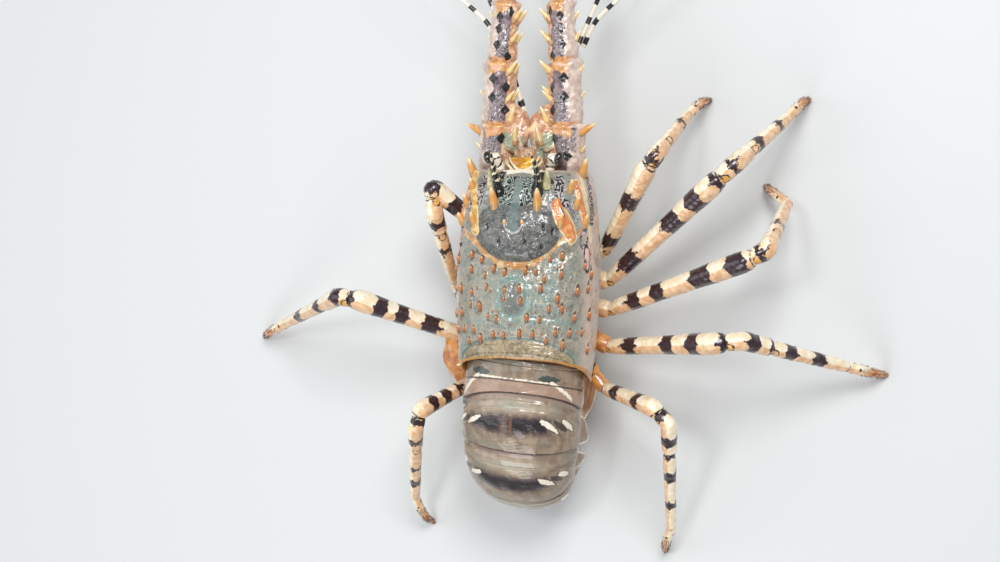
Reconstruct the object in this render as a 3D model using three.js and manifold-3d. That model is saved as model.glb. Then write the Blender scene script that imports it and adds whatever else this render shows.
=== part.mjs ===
// A life-size spiny lobster, standing on its ten legs with its tail curled under it.
// Millimetres. X runs to the animal's right, Y forwards past its head, and Z up from the floor.
import * as THREE from "three";
import { mergeVertices } from "three/addons/utils/BufferGeometryUtils.js";
import Module from "manifold-3d";

const wasm = await Module();
wasm.setup();

const GAP = 0.3;
const DEGREE = Math.PI / 180;
const SIDES = [["left", -1], ["right", 1]];

// Carapace: a deep arch over a flat underside
const CARAPACE_FRONT = 130;
const CARAPACE_REAR = -9;
const CARAPACE_CENTRE_Z = 94;
const CARAPACE_DEPTH = 52;
const CARAPACE_SQUARENESS = 2.2;
const MARGIN_TURN = 128 * DEGREE;
const RIM_SWEEP = 13;
const RIM_WIDTH = 10;
const RIM_HEIGHT = 1.2;
const GROOVE_Y = 60;
const GROOVE_SWEEP = 28;
const GROOVE_DEPTH = 2.2;
const GROOVE_WIDTH = 4;
const HALF_WIDTH = [[-22, 49], [-9, 51], [20, 53], [60, 54], [90, 51.5], [115, 48.5], [130, 44]];
const TOP_Z = [
  [-22, 121], [-9, 126], [10, 129], [35, 131], [60, 130], [85, 133], [105, 130], [118, 125], [130, 116],
];
const MARGIN_SHARE = Math.abs(Math.cos(MARGIN_TURN)) ** (2 / CARAPACE_SQUARENESS);
const UNDERSIDE_Z = CARAPACE_CENTRE_Z - CARAPACE_DEPTH * MARGIN_SHARE;
const HEAD_YAW = -1.8 * DEGREE;

// Large spines of the carapace: [place along it, turn from the midline in degrees, length, root radius]
const LARGE_SPINES = [
  [102, 17, 15, 3.4], [127, 70, 13, 3.4], [113, 49, 9, 2.6], [98, 56, 8.5, 2.6], [85, 38, 9, 2.6],
  [76, 66, 8, 2.6], [88, 6, 5.5, 1.9],
];
// Small spines of its rear: the turns from the midline in degrees of each row of them, by place along it
const SMALL_SPINES = [
  [58, [27, 40]], [53, [7, 15]], [47, [23, 37, 62]], [40, [5, 20, 73]], [33, [6, 36, 54, 69]], [26, [27, 38]],
  [19, [10, 20, 52, 73]], [11, [33, 48, 62]], [8, [5, 16]], [3, [27, 42, 73]],
];
const SMALL_SPINE_LENGTH = 6;
const SMALL_SPINE_RADIUS = 1.9;
const SPINE_SEED = 11;

// Abdomen: six ringed somites along a line that rolls from level to upside down
const ABDOMEN_START_Y = -7;
const ABDOMEN_YAW = -7 * DEGREE;
const SOMITE_ENDS = [0, 28, 74, 124, 168, 206, 238];
const BACK_TURN = [[0, 0], [28, 4], [74, 18], [124, 58], [168, 106], [206, 152], [238, 180]];
const ABDOMEN_HALF_WIDTH = [[0, 44], [28, 45.5], [74, 45], [124, 41], [168, 36], [206, 32], [238, 28]];
const ABDOMEN_THICKNESS = [[0, 50], [28, 53], [74, 53], [124, 48], [168, 41], [206, 32], [238, 22]];
const TAIL_LEVEL = 2.2;

// Legs: the sternum side, hip, knee, wrist, ankle and toe of each, and its thickness beside the front legs'
const COXA_Z = 50;
const LEGS = {
  right: [
    {
      joints: [[49, 71, 48], [91, 130, 90], [99, 140, 92], [111, 175, 34], [121, 189, 0]],
      girth: 0.95,
    },
    {
      joints: [[52, 48, 48], [141, 117, 96], [158, 132, 96], [187, 171, 32], [198, 187, 0]],
      girth: 1,
    },
    {
      joints: [[53, 26, 49], [166, 62, 100], [182, 70, 100], [186, 106, 32], [165, 121, 0]],
      girth: 1,
    },
    {
      joints: [[53, -2, 50], [145, 3, 102], [165, 5, 100], [231, -16, 30], [256, -23, 0]],
      girth: 1,
    },
    {
      joints: [[50, -34, 50], [99, -44, 102], [111, -56, 102], [97, -142, 30], [86, -164, 0]],
      girth: 0.85,
    },
  ],
  left: [
    {
      joints: [[-42, 84, 50], [-76, 119, 88], [-76, 100, 85], [-80, 47, 28], [-78, 28, 0]],
      girth: 0.95, cut: 20,
    },
    {
      joints: [[-38, 58, 37], [-36, 136, 24], [-41, 150, 18], [-56, 96, 12], [-58, 66, 0]],
      girth: 0.85, cut: 10,
    },
    {
      joints: [[-52, 42, 44], [-60, 104, 36], [-62, 117, 28], [-67, 66, 14], [-62, 34, 0]],
      girth: 0.85, cut: 10,
    },
    {
      joints: [[-60, 4, 51], [-129, 33, 106], [-148, 36, 104], [-224, 14, 32], [-260, 1, 0]],
      girth: 1,
    },
    {
      joints: [[-56, -30, 50], [-82, -50, 98], [-87, -64, 97], [-112, -126, 32], [-108, -150, 0]],
      girth: 0.85,
    },
  ],
};
// The sternum's corners between the legs, front to rear, as [place along, half width]
const STERNUM_CORNERS = [[83, 18], [62, 23.5], [42, 27], [21, 30], [-1, 31.5], [-23, 28]];
const STERNUM_BOTTOM_Z = 43;

// Antennae: three stout joints and a long stiff whip, and the thin antennules under them
const ANTENNA_JOINTS = [[28, CARAPACE_FRONT + GAP, 91], [27, 165, 95], [24.5, 213, 98], [20.5, 257, 101]];
const ANTENNA_RADII = [[13.5, 12.5], [12.5, 11.5], [11, 9]];
const WHIP_ROUTE = [[20.5, 257, 101], [21, 300, 109], [36, 420, 146], [78, 560, 190], [150, 690, 214]];
const WHIP_SPLIT = 0.48;
// Spines of the antenna's three joints: their places along each, and turns in degrees from its outer edge
const ANTENNA_SPINE_PLACES = [[0.45, 0.78], [0.3, 0.55, 0.8], [0.3, 0.52, 0.74]];
const ANTENNA_SPINE_TURNS = [[10, 70], [0, 75, 165], [0, 80, 175]];
const ANTENNA_SPINE_LENGTH = 7.5;
const ANTENNA_SPINE_RADIUS = 2;
const WHIP_RADII = [[0, 6.6], [0.06, 5.6], [0.5, 3.6], [1, 0.9]];
const PLATE_REACH = 18;
const ANTENNULE_ROUTE = [[6, 147, 93], [12, 176, 80], [29, 222, 77]];
const ANTENNULE_RADIUS = 3.2;
const FILAMENT_ROUTES = {
  outer: [[29, 222, 77], [43, 244, 80], [63, 262, 84], [110, 306, 96], [150, 360, 104]],
  inner: [[29, 222, 77], [36, 246, 74], [46, 268, 76], [78, 330, 88], [96, 396, 92]],
};
const FILAMENT_RADIUS = 1.5;

const EYE_CENTRE = [27, 142, 114];
const EYE_RADIUS = 5.4;
const HORN_FOOT = [14.5, 112];
const HORN_TIP = [15, 141, 146];

const vector = (x, y, z) => new THREE.Vector3(x, y, z);
const mirrored = (point, side) => vector(point[0] * side, point[1], point[2]);

// The value at a place on a smooth line through [place, value] pairs.
function smooth(pairs, place) {
  const last = pairs.length - 1;
  if (place <= pairs[0][0]) return pairs[0][1];
  if (place >= pairs[last][0]) return pairs[last][1];
  let i = 0;
  while (place > pairs[i + 1][0]) i++;
  const slope = (k) => {
    const before = pairs[Math.max(k - 1, 0)];
    const after = pairs[Math.min(k + 1, last)];
    return (after[1] - before[1]) / (after[0] - before[0]);
  };
  const span = pairs[i + 1][0] - pairs[i][0];
  const t = (place - pairs[i][0]) / span;
  const start = pairs[i][1] * (1 + 2 * t) * (1 - t) ** 2 + slope(i) * span * t * (1 - t) ** 2;
  const end = pairs[i + 1][1] * t * t * (3 - 2 * t) + slope(i + 1) * span * t * t * (t - 1);
  return start + end;
}

// A closed surface through rings of equally many points. A ring of one point is a tip.
function loft(rings) {
  const position = [];
  const index = [];
  const first = [];
  const put = (p) => position.push(p.x, p.y, p.z) / 3 - 1;
  for (const ring of rings) first.push(ring.map(put)[0]);
  const cap = (ring, start, forward) => {
    if (ring.length < 3) return;
    const middle = put(ring.reduce((sum, p) => sum.add(p), vector(0, 0, 0)).divideScalar(ring.length));
    ring.forEach((_, j) => {
      const a = start + j;
      const b = start + ((j + 1) % ring.length);
      index.push(...(forward ? [middle, a, b] : [middle, b, a]));
    });
  };
  for (let i = 0; i + 1 < rings.length; i++) {
    const low = rings[i].length;
    const high = rings[i + 1].length;
    const count = Math.max(low, high);
    for (let j = 0; j < count; j++) {
      const next = (j + 1) % count;
      const a = first[i] + (low > 1 ? j : 0);
      const b = first[i] + (low > 1 ? next : 0);
      const c = first[i + 1] + (high > 1 ? next : 0);
      const d = first[i + 1] + (high > 1 ? j : 0);
      if (low > 1) index.push(a, b, c);
      if (high > 1) index.push(a, c, d);
    }
  }
  cap(rings[0], first[0], false);
  cap(rings.at(-1), first.at(-1), true);
  const geometry = new THREE.BufferGeometry();
  geometry.setAttribute("position", new THREE.Float32BufferAttribute(position, 3));
  geometry.setIndex(index);
  return geometry;
}

function solidOf(geometry) {
  const bare = geometry.clone();
  bare.deleteAttribute("normal");
  bare.deleteAttribute("uv");
  const merged = mergeVertices(bare, 1e-4);
  const build = (triVerts) => new wasm.Manifold(
    new wasm.Mesh({ numProp: 3, vertProperties: merged.attributes.position.array, triVerts }),
  );
  const made = build(new Uint32Array(merged.index.array));
  return made.volume() < 0 ? build(new Uint32Array(merged.index.array).reverse()) : made;
}

const joined = (geometries) => geometries.map(solidOf).reduce((sum, solid) => sum.add(solid));
const largest = (solid) => solid.decompose().reduce((a, b) => (a.volume() > b.volume() ? a : b));

function geometryOf(solid) {
  const mesh = solid.getMesh();
  const position = new Float32Array(mesh.numVert * 3);
  for (let i = 0; i < mesh.numVert; i++) {
    position.set(mesh.vertProperties.subarray(i * mesh.numProp, i * mesh.numProp + 3), i * 3);
  }
  const geometry = new THREE.BufferGeometry();
  geometry.setAttribute("position", new THREE.BufferAttribute(position, 3));
  geometry.setIndex(new THREE.BufferAttribute(new Uint32Array(mesh.triVerts), 1));
  geometry.computeVertexNormals();
  return geometry;
}

// Rings round a curve, each perpendicular to it. radius(t) gives [across, up], t from 0 to 1.
function tube(points, radius, steps, sides, up = vector(0, 0, 1)) {
  const curve = new THREE.CatmullRomCurve3(points, false, "centripetal");
  const rings = [];
  for (let i = 0; i <= steps; i++) {
    const t = i / steps;
    const tangent = curve.getTangentAt(t);
    const across = vector(0, 0, 0).crossVectors(tangent, up).normalize();
    const lift = vector(0, 0, 0).crossVectors(across, tangent).normalize();
    const [wide, high] = radius(t);
    const centre = curve.getPointAt(t);
    rings.push(ringAt(centre, across, lift, wide, high, sides));
  }
  return loft(rings);
}

function ringAt(centre, across, lift, wide, high, sides) {
  const ring = [];
  for (let j = 0; j < sides; j++) {
    const a = ((j + 0.5) / sides) * 2 * Math.PI;
    const place = centre.clone().addScaledVector(across, wide * Math.cos(a));
    ring.push(place.addScaledVector(lift, high * Math.sin(a)));
  }
  return ring;
}

// A repeatable run of draws between -1 and 1.
function seeded(seed) {
  let state = seed;
  return () => {
    state = (state * 1664525 + 1013904223) % 4294967296;
    return (state / 4294967296) * 2 - 1;
  };
}

// What is left of a solid ahead of a level along Y.
const ahead = (solid, y) => solid.trimByPlane([0, 1, 0], y);

// A thorn from a foot on the skin to its tip, with its root sunk in.
function thorn(foot, tip, radius, sink, sides) {
  const axis = tip.clone().sub(foot).normalize();
  const helper = Math.abs(axis.z) > 0.9 ? vector(0, 1, 0) : vector(0, 0, 1);
  const across = vector(0, 0, 0).crossVectors(axis, helper).normalize();
  const lift = vector(0, 0, 0).crossVectors(across, axis);
  const root = foot.clone().addScaledVector(axis, -sink);
  return loft([ringAt(root, across, lift, radius, radius, sides), [tip]]);
}

// A spine leaning forwards from the skin. lean is its forward share beside its outward one.
function spine(foot, out, forwards, lean, length, radius, sides = 4) {
  const way = out.clone().addScaledVector(forwards, lean).normalize();
  return thorn(foot, foot.clone().addScaledVector(way, length), radius, radius * 1.1, sides);
}

function material(colour, roughness = 0.45) {
  return new THREE.MeshStandardMaterial({ color: colour, roughness, metalness: 0 });
}
const SHELL = material(0x7d9088);
const GREY_SHELL = material(0xa79685);
const LEG_SHELL = material(0xe8cfa4);
const ANTENNA_SHELL = material(0xc9a9a4);
const EYE_SHELL = material(0x14110f, 0.15);
const PALE_SHELL = material(0xe6c9a8);

// A named mesh from a closed geometry or a solid, facing outwards.
function node(name, shape, finish) {
  const solid = shape.isBufferGeometry ? solidOf(shape) : shape;
  const mesh = new THREE.Mesh(geometryOf(solid), finish);
  mesh.name = name;
  return mesh;
}

// A point of the carapace. row is its place along the midline, turn its angle from the midline.
function carapacePoint(row, turn) {
  const share = Math.min(Math.abs(turn) / (Math.PI / 2), 1.15);
  const rear = RIM_SWEEP * share ** 2 * Math.max(0, 1 - (row - CARAPACE_REAR) / 45) ** 1.5;
  const groove = GROOVE_SWEEP * share ** 1.5;
  const shift = smooth([[-9, 0], [25, 0.3], [60, 1], [95, 0.5], [130, 0]], row);
  const y = row - rear + groove * shift;
  const band = Math.max(0, 1 - Math.abs(row - CARAPACE_REAR - RIM_WIDTH / 2) / (RIM_WIDTH / 2)) ** 0.4;
  const side = Math.max(0, Math.cos(turn));
  const dent = GROOVE_DEPTH * Math.exp(-(((row - GROOVE_Y) / GROOVE_WIDTH) ** 2)) * Math.min(1, side * 3);
  const proud = RIM_HEIGHT * band * Math.min(1, side * 3) - dent;
  const power = 2 / CARAPACE_SQUARENESS;
  const across = Math.sign(turn) * Math.abs(Math.sin(turn)) ** power;
  const height = Math.sign(Math.cos(turn)) * Math.abs(Math.cos(turn)) ** power;
  const lift = smooth(TOP_Z, y) - CARAPACE_CENTRE_Z;
  return vector(
    across * (smooth(HALF_WIDTH, y) + proud * side),
    y,
    CARAPACE_CENTRE_Z + height * (height > 0 ? lift + proud : CARAPACE_DEPTH),
  );
}

// The foot and outward direction of a spine on the carapace, at a place along it and across it.
function carapaceSkin(row, turn) {
  const step = 0.02;
  const foot = carapacePoint(row, turn);
  const along = carapacePoint(row + 1, turn).sub(carapacePoint(row - 1, turn));
  const around = carapacePoint(row, turn + step).sub(carapacePoint(row, turn - step));
  const out = vector(0, 0, 0).crossVectors(around, along).normalize();
  if (out.dot(foot.clone().sub(vector(0, foot.y, CARAPACE_CENTRE_Z))) < 0) out.negate();
  return { foot, out };
}

// The carapace's spines, alike on both sides but for a small draw of their own.
function carapaceSpines() {
  const draw = seeded(SPINE_SEED);
  const forwards = vector(0, 1, 0);
  const spines = [];
  for (const [, side] of SIDES) {
    for (const [row, turn, length, radius] of LARGE_SPINES) {
      const { foot, out } = carapaceSkin(row, side * turn * DEGREE);
      spines.push(spine(foot, out, forwards, 1.5, length * (1 + 0.06 * draw()), radius, 6));
    }
    for (const [row, turns] of SMALL_SPINES) {
      for (const turn of turns) {
        const { foot, out } = carapaceSkin(row + 1.4 * draw(), side * (turn + 1.6 * draw()) * DEGREE);
        const size = 1 + 0.18 * draw();
        spines.push(spine(foot, out, forwards, 1.3, SMALL_SPINE_LENGTH * size, SMALL_SPINE_RADIUS * size));
      }
    }
  }
  return spines;
}

function carapaceShell() {
  const rows = [-9, -4, 0, 2, 10, 20, 30, 40, 50, 56, 60, 64, 70, 78, 87, 96, 105, 113, 119, 125, 130];
  const turns = 26;
  const rings = rows.map((row) => {
    const ring = [];
    for (let j = 0; j <= turns; j++) ring.push(carapacePoint(row, MARGIN_TURN * (1 - (2 * j) / turns)));
    const edge = ring.at(-1);
    for (const share of [-0.6, 0, 0.6]) ring.push(vector(-edge.x * share, edge.y, edge.z));
    return ring;
  });
  return loft(rings);
}

function horn(side) {
  const foot = vector(HORN_FOOT[0] * side, HORN_FOOT[1], smooth(TOP_Z, HORN_FOOT[1]) - 5);
  const tip = mirrored(HORN_TIP, side);
  const middle = foot.clone().lerp(tip, 0.5).add(vector(side * 1.5, 2, -1.5));
  const width = (t) => [5.2 * (1 - t) ** 0.8 + 0.35, 6.6 * (1 - t) ** 0.8 + 0.35];
  return tube([foot, middle, tip], width, 6, 8);
}

// The abdomen's back line, as its place, its heading and the outward direction at a length along it.
function backLine(length) {
  const steps = 200;
  const start = vector(0, 0, 0);
  for (let i = 0; i < steps; i++) {
    const heading = smooth(BACK_TURN, ((i + 0.5) / steps) * length) * DEGREE;
    start.add(vector(0, -Math.cos(heading), -Math.sin(heading)).multiplyScalar(length / steps));
  }
  const heading = smooth(BACK_TURN, length) * DEGREE;
  return {
    point: start,
    along: vector(0, -Math.cos(heading), -Math.sin(heading)),
    out: vector(0, -Math.sin(heading), Math.cos(heading)),
  };
}
const BACK_DROP = -backLine(SOMITE_ENDS.at(-1)).point.z;
const BACK_START = vector(0, ABDOMEN_START_Y, TAIL_LEVEL + BACK_DROP);

// A ring of the abdomen at a length along its back, grown outwards by proud.
function abdomenRing(length, proud) {
  const { point, out } = backLine(length);
  const half = smooth(ABDOMEN_HALF_WIDTH, length) + proud;
  const thick = smooth(ABDOMEN_THICKNESS, length);
  const arch = thick * 0.62 + proud;
  const ring = [];
  const put = (x, depth) => ring.push(
    vector(x, 0, 0).add(point).add(BACK_START).addScaledVector(out, proud - depth),
  );
  const turns = 14;
  for (let j = 0; j <= turns; j++) {
    const turn = (j / turns - 0.5) * Math.PI;
    put(-half * Math.sign(turn) * Math.abs(Math.sin(turn)) ** 0.9, arch * (1 - Math.cos(turn) ** 0.9));
  }
  for (const [share, depth] of [[-0.95, 0.86], [-0.6, 1], [0.6, 1], [0.95, 0.86]]) {
    put(half * share, thick * depth + 2 * proud);
  }
  return ring;
}

// A side lobe of a somite, swept outwards and back to a point.
function pleuron(start, end, side) {
  const place = start + (end - start) * 0.45;
  const { point, along, out } = backLine(place);
  const half = smooth(ABDOMEN_HALF_WIDTH, place);
  const thick = smooth(ABDOMEN_THICKNESS, place);
  const turning = (smooth(BACK_TURN, place + 2) - smooth(BACK_TURN, place - 2)) / 4 * DEGREE;
  const spread = (depth) => (end - start) * 0.36 * (1 - depth * turning);
  const put = (x, depth, back) => vector(x * side, 0, 0)
    .add(point).add(BACK_START).addScaledVector(out, -depth).addScaledVector(along, back * spread(depth));
  const lift = vector(side, 0, 0).addScaledVector(out, -0.3).normalize();
  const depths = [thick * 0.5, thick * 0.72, thick * 0.92];
  return loft([
    ringAt(put(half * 0.84, depths[0], 0), along, lift, spread(depths[0]), 4, 6),
    ringAt(put(half * 0.99, depths[1], 0.25), along, lift, spread(depths[1]) * 0.8, 2.6, 6),
    [put(half * 1.06, depths[2], 0.9)],
  ]);
}

function somite(number) {
  const start = SOMITE_ENDS[number - 1] + (number > 1 ? GAP : 0);
  const end = SOMITE_ENDS[number] - (number < 6 ? 0.2 : 0);
  const places = [0, 0.1, 0.14, 0.4, 0.7, 0.93, 1];
  const proud = [-1.6, -1.4, -0.2, 0.4, 0.4, 0.6, 0.2];
  const shell = loft(places.map((t, i) => abdomenRing(start + (end - start) * t, proud[i])));
  const lobes = number > 1 && number < 6 ? SIDES.map(([, side]) => pleuron(start, end, side)) : [];
  const flaps = number === 2 || number === 3 ? SIDES.map(([, side]) => pleopod(number, side)) : [];
  return node("abdomen_" + number, largest(joined([shell, ...lobes, ...flaps])), GREY_SHELL);
}

// A leaf-shaped swimming flap under a somite.
function pleopod(number, side) {
  const place = (SOMITE_ENDS[number - 1] + SOMITE_ENDS[number]) / 2;
  const { point, out } = backLine(place);
  const half = smooth(ABDOMEN_HALF_WIDTH, place) * 0.62;
  const thick = smooth(ABDOMEN_THICKNESS, place);
  const root = vector(half * side, 0, 0).add(point).add(BACK_START).addScaledVector(out, -thick + 3);
  const tip = root.clone().add(vector(side * 2, 8, -27));
  const width = [3, 8, 10, 8, 2];
  const depth = [2.2, 1.6, 1.4, 1.2, 0.7];
  return loft(width.map((w, i) => ringAt(
    root.clone().lerp(tip, i / 4), vector(0, 1, 0.3).normalize(), vector(1, 0, 0), w, depth[i], 6,
  )));
}

// A blade of the tail fan, lying level. angle is its turn outwards.
function blade(foot, length, halfWidths, levels, angle) {
  const along = vector(Math.sin(angle), Math.cos(angle), 0);
  const across = vector(Math.cos(angle), -Math.sin(angle), 0);
  return loft(halfWidths.map((half, i) => {
    const [low, high] = levels[i];
    const centre = foot.clone().addScaledVector(along, (length * i) / (halfWidths.length - 1));
    const put = (x, z) => centre.clone().addScaledVector(across, x).setZ(z);
    const edge = low + (high - low) * 0.5;
    return [
      put(-half, edge), put(-half * 0.85, low), put(half * 0.85, low),
      put(half, edge), put(half * 0.85, high), put(0, high), put(-half * 0.85, high),
    ];
  }));
}

function tailFan() {
  const end = backLine(SOMITE_ENDS.at(-1)).point.add(BACK_START);
  const foot = vector(0, end.y + GAP, 0);
  const telson = blade(
    foot, 68, [15, 17, 18.5, 19, 18, 15.5, 10],
    [[0.8, 9], [0, 5], [0, 2.6], [0, 2.2], [0, 2], [0, 1.8], [0, 1.6]], 0,
  );
  const pieces = [node("telson", telson, PALE_SHELL)];
  for (const [name, side] of SIDES) {
    const inner = blade(
      foot.clone().add(vector(side * 14.5, 1, 0)), 68, [5, 10, 12.8, 13.6, 13, 10.5, 6],
      [[9.4, 14], [5.4, 8.5], [3, 5.4], [2.6, 4.6], [2.4, 4.3], [2.2, 4], [2, 3.8]], side * 0.03,
    );
    const outer = blade(
      foot.clone().add(vector(side * 19, 1, 0)), 66, [5, 10, 13.5, 15, 14, 11, 6],
      [[14.4, 18.5], [9, 12.5], [5.8, 8.2], [5, 7], [4.7, 6.6], [4.4, 6.2], [4.2, 5.9]], side * 0.06,
    );
    pieces.push(node("uropod_inner_" + name, inner, PALE_SHELL));
    pieces.push(node("uropod_outer_" + name, outer, PALE_SHELL));
  }
  return pieces;
}

// Splits a solid with thin discs at the cuts, and gives the piece nearest each of the marks.
function parted(solid, cuts, marks) {
  let rest = solid;
  for (const { at, facing, radius } of cuts) {
    const disc = new THREE.CylinderGeometry(radius, radius, GAP, 12);
    disc.applyQuaternion(new THREE.Quaternion().setFromUnitVectors(vector(0, 1, 0), facing));
    disc.translate(at.x, at.y, at.z);
    rest = rest.subtract(solidOf(disc));
  }
  const bodies = rest.decompose();
  return marks.map((mark) => {
    const reach = (body) => {
      const mesh = body.getMesh();
      let best = Infinity;
      for (let i = 0; i < mesh.vertProperties.length; i += mesh.numProp) {
        best = Math.min(best, mark.distanceTo(vector(...mesh.vertProperties.subarray(i, i + 3))));
      }
      return best;
    };
    const big = bodies.filter((body) => body.volume() > 5);
    return big.reduce((a, b) => (reach(a) < reach(b) ? a : b));
  });
}

// One segment of a leg: narrow at its start, fuller along it, and swollen at its far joint.
function legSegment(from, to, radii, overlap, sides = 7) {
  const axis = to.clone().sub(from).normalize();
  const start = from.clone().addScaledVector(axis, -overlap);
  const end = to.clone().addScaledVector(axis, overlap * 0.6);
  const places = [0, 0.14, 0.86, 1];
  const helper = Math.abs(axis.z) > 0.9 ? vector(1, 0, 0) : vector(0, 0, 1);
  const across = vector(0, 0, 0).crossVectors(axis, helper).normalize();
  const lift = vector(0, 0, 0).crossVectors(across, axis);
  return loft(places.map((t, i) => ringAt(
    start.clone().lerp(end, t), across, lift, radii[i] * 0.94, radii[i] * 1.04, sides,
  )));
}

// The curved last segment of a leg, cut level where it stands.
function dactyl(from, to, radius) {
  const way = vector(to.x - from.x, to.y - from.y, 0).normalize();
  const across = vector(0, 0, 0).crossVectors(way, vector(0, 0, 1));
  const middle = from.clone().lerp(to, 0.55).addScaledVector(way, 3).add(vector(0, 0, 3));
  const axis = to.clone().sub(from).normalize();
  const lift = vector(0, 0, 0).crossVectors(across, axis);
  return loft([
    ringAt(from.clone().addScaledVector(axis, -3), across, lift, radius * 0.8, radius * 0.8, 6),
    ringAt(from.clone().addScaledVector(axis, 1), across, lift, radius, radius, 6),
    ringAt(middle, across, lift, radius * 0.8, radius * 0.8, 6),
    ringAt(to, across, way, radius * 0.45, radius * 0.5, 6),
  ]);
}

function leg(name, side, number, { joints, girth, cut = 13 }) {
  const [hip, knee, wrist, ankle, toe] = joints.map((joint) => vector(...joint));
  const [ahead, behind] = [STERNUM_CORNERS[number], STERNUM_CORNERS[number + 1]]
    .map(([y, half]) => vector(side * half, y, COXA_Z));
  const wall = ahead.clone().sub(behind).normalize();
  const away = vector(wall.y * side, -wall.x * side, 0);
  const root = ahead.clone().lerp(behind, 0.5).addScaledVector(away, GAP);
  const bend = root.clone().lerp(hip, 0.55);
  const coxa = loft([
    ringAt(root, wall, vector(0, 0, 1), 8.2, 7.4, 8),
    ringAt(bend, wall, vector(0, 0, 1), 7.8, 7.4, 8),
    ringAt(bend.clone().addScaledVector(away, 4), wall, vector(0, 0, 1), 5, 5, 8),
  ]);
  const thick = (radii) => radii.map((radius) => radius * girth);
  const pieces = [
    coxa,
    legSegment(bend, hip, thick([6, 7, 7.2, 5.5]), 3, 6),
    legSegment(hip, knee, thick([5, 6.6, 8, 6]), 3),
    legSegment(knee, wrist, thick([5, 6.8, 7, 5]), 2, 6),
    legSegment(wrist, ankle, thick([4, 5.4, 5, 3.8]), 2.5, 6),
    dactyl(ankle, toe, 4.2 * girth),
  ];
  const facing = knee.clone().sub(hip).normalize().add(wrist.clone().sub(knee).normalize()).normalize();
  const [upper, lower] = parted(joined(pieces), [{ at: knee, facing, radius: cut }], [root, toe]);
  return [
    node(`leg_${number + 1}_${name}_upper`, upper, LEG_SHELL),
    node(`leg_${number + 1}_${name}_lower`, lower, LEG_SHELL),
  ];
}

function sternum() {
  const top = UNDERSIDE_Z - GAP;
  const rings = STERNUM_CORNERS.map(([y, half]) => {
    return [
      vector(-half, y, top), vector(-half, y, STERNUM_BOTTOM_Z + 3), vector(-half * 0.5, y, STERNUM_BOTTOM_Z),
      vector(half * 0.5, y, STERNUM_BOTTOM_Z), vector(half, y, STERNUM_BOTTOM_Z + 3), vector(half, y, top),
    ];
  });
  return node("sternum", loft(rings), PALE_SHELL);
}

function mouth() {
  const top = UNDERSIDE_Z - GAP;
  const jaw = [88, 100, 114, 124].map((y, i) => {
    const half = [10, 14, 13, 7][i];
    const low = [50, 47, 48, 54][i];
    return [
      vector(-half, y, top), vector(-half, y, low + 3), vector(-half * 0.5, y, low),
      vector(half * 0.5, y, low), vector(half, y, low + 3), vector(half, y, top),
    ];
  });
  const pieces = [node("mouth", loft(jaw), PALE_SHELL)];
  for (const [name, side] of SIDES) {
    const route = [[20, 88, 51], [21, 104, 46], [17, 124, 44], [8, 132, 40], [7, 112, 37]];
    const points = route.map((p) => mirrored(p, side));
    const limb = tube(points, (t) => [5 - 2.4 * t, 5.4 - 2.8 * t], 10, 6, vector(side, 0, 0.2));
    pieces.push(node("maxilliped_" + name, limb, LEG_SHELL));
  }
  return pieces;
}

function head() {
  const group = new THREE.Group();
  const horns = SIDES.map(([, side]) => horn(side));
  const shell = joined([carapaceShell(), ...horns, ...carapaceSpines()]);
  group.add(node("carapace", largest(shell.subtract(tailSocket())), SHELL));
  group.add(...mouth());
  group.add(antennularPlate());
  for (const [name, side] of SIDES) {
    group.add(eye(name, side), ...antenna(name, side), ...antennule(name, side));
  }
  group.rotation.z = HEAD_YAW;
  return group;
}

// The room in the back of the carapace that the first somite slides into.
function tailSocket() {
  const grow = 1;
  const room = solidOf(loft([-2, 3, 8, 20, 34].map((length) => abdomenRing(length, grow))));
  return room.rotate([0, 0, (ABDOMEN_YAW - HEAD_YAW) / DEGREE]);
}

function antennularPlate() {
  const y = CARAPACE_FRONT + GAP;
  const sizes = [[0, 12.5, 86, 110], [9, 12, 84, 108], [PLATE_REACH, 10, 84, 101]];
  const rings = sizes.map(([ahead, half, low, high]) => [
    vector(-half, y + ahead, low), vector(half, y + ahead, low),
    vector(half, y + ahead, high - 3), vector(half * 0.5, y + ahead, high),
    vector(-half * 0.5, y + ahead, high), vector(-half, y + ahead, high - 3),
  ]);
  const thorns = [];
  for (const [, side] of SIDES) {
    thorns.push(thorn(vector(side * 6, y + 6, 107), vector(side * 7, y + 15, 118), 2.4, 3, 5));
    thorns.push(thorn(vector(side * 5, y + 13, 104), vector(side * 6.5, y + 24, 111), 2.2, 3, 5));
  }
  return node("antennular_plate", largest(joined([loft(rings), ...thorns])), PALE_SHELL);
}

function eye(name, side) {
  const centre = mirrored(EYE_CENTRE, side);
  const root = vector(side * 19, CARAPACE_FRONT + GAP, 109);
  const route = [root.clone().add(vector(0, -1, 0)), root.clone().add(vector(0, 3, 0)), centre];
  const stalk = tube(route, (t) => [4.2 + t, 4 + t], 3, 7);
  const ball = new THREE.SphereGeometry(EYE_RADIUS, 9, 6);
  ball.translate(centre.x, centre.y, centre.z);
  return node("eye_" + name, ahead(joined([stalk, ball]), CARAPACE_FRONT + GAP), EYE_SHELL);
}

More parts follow.
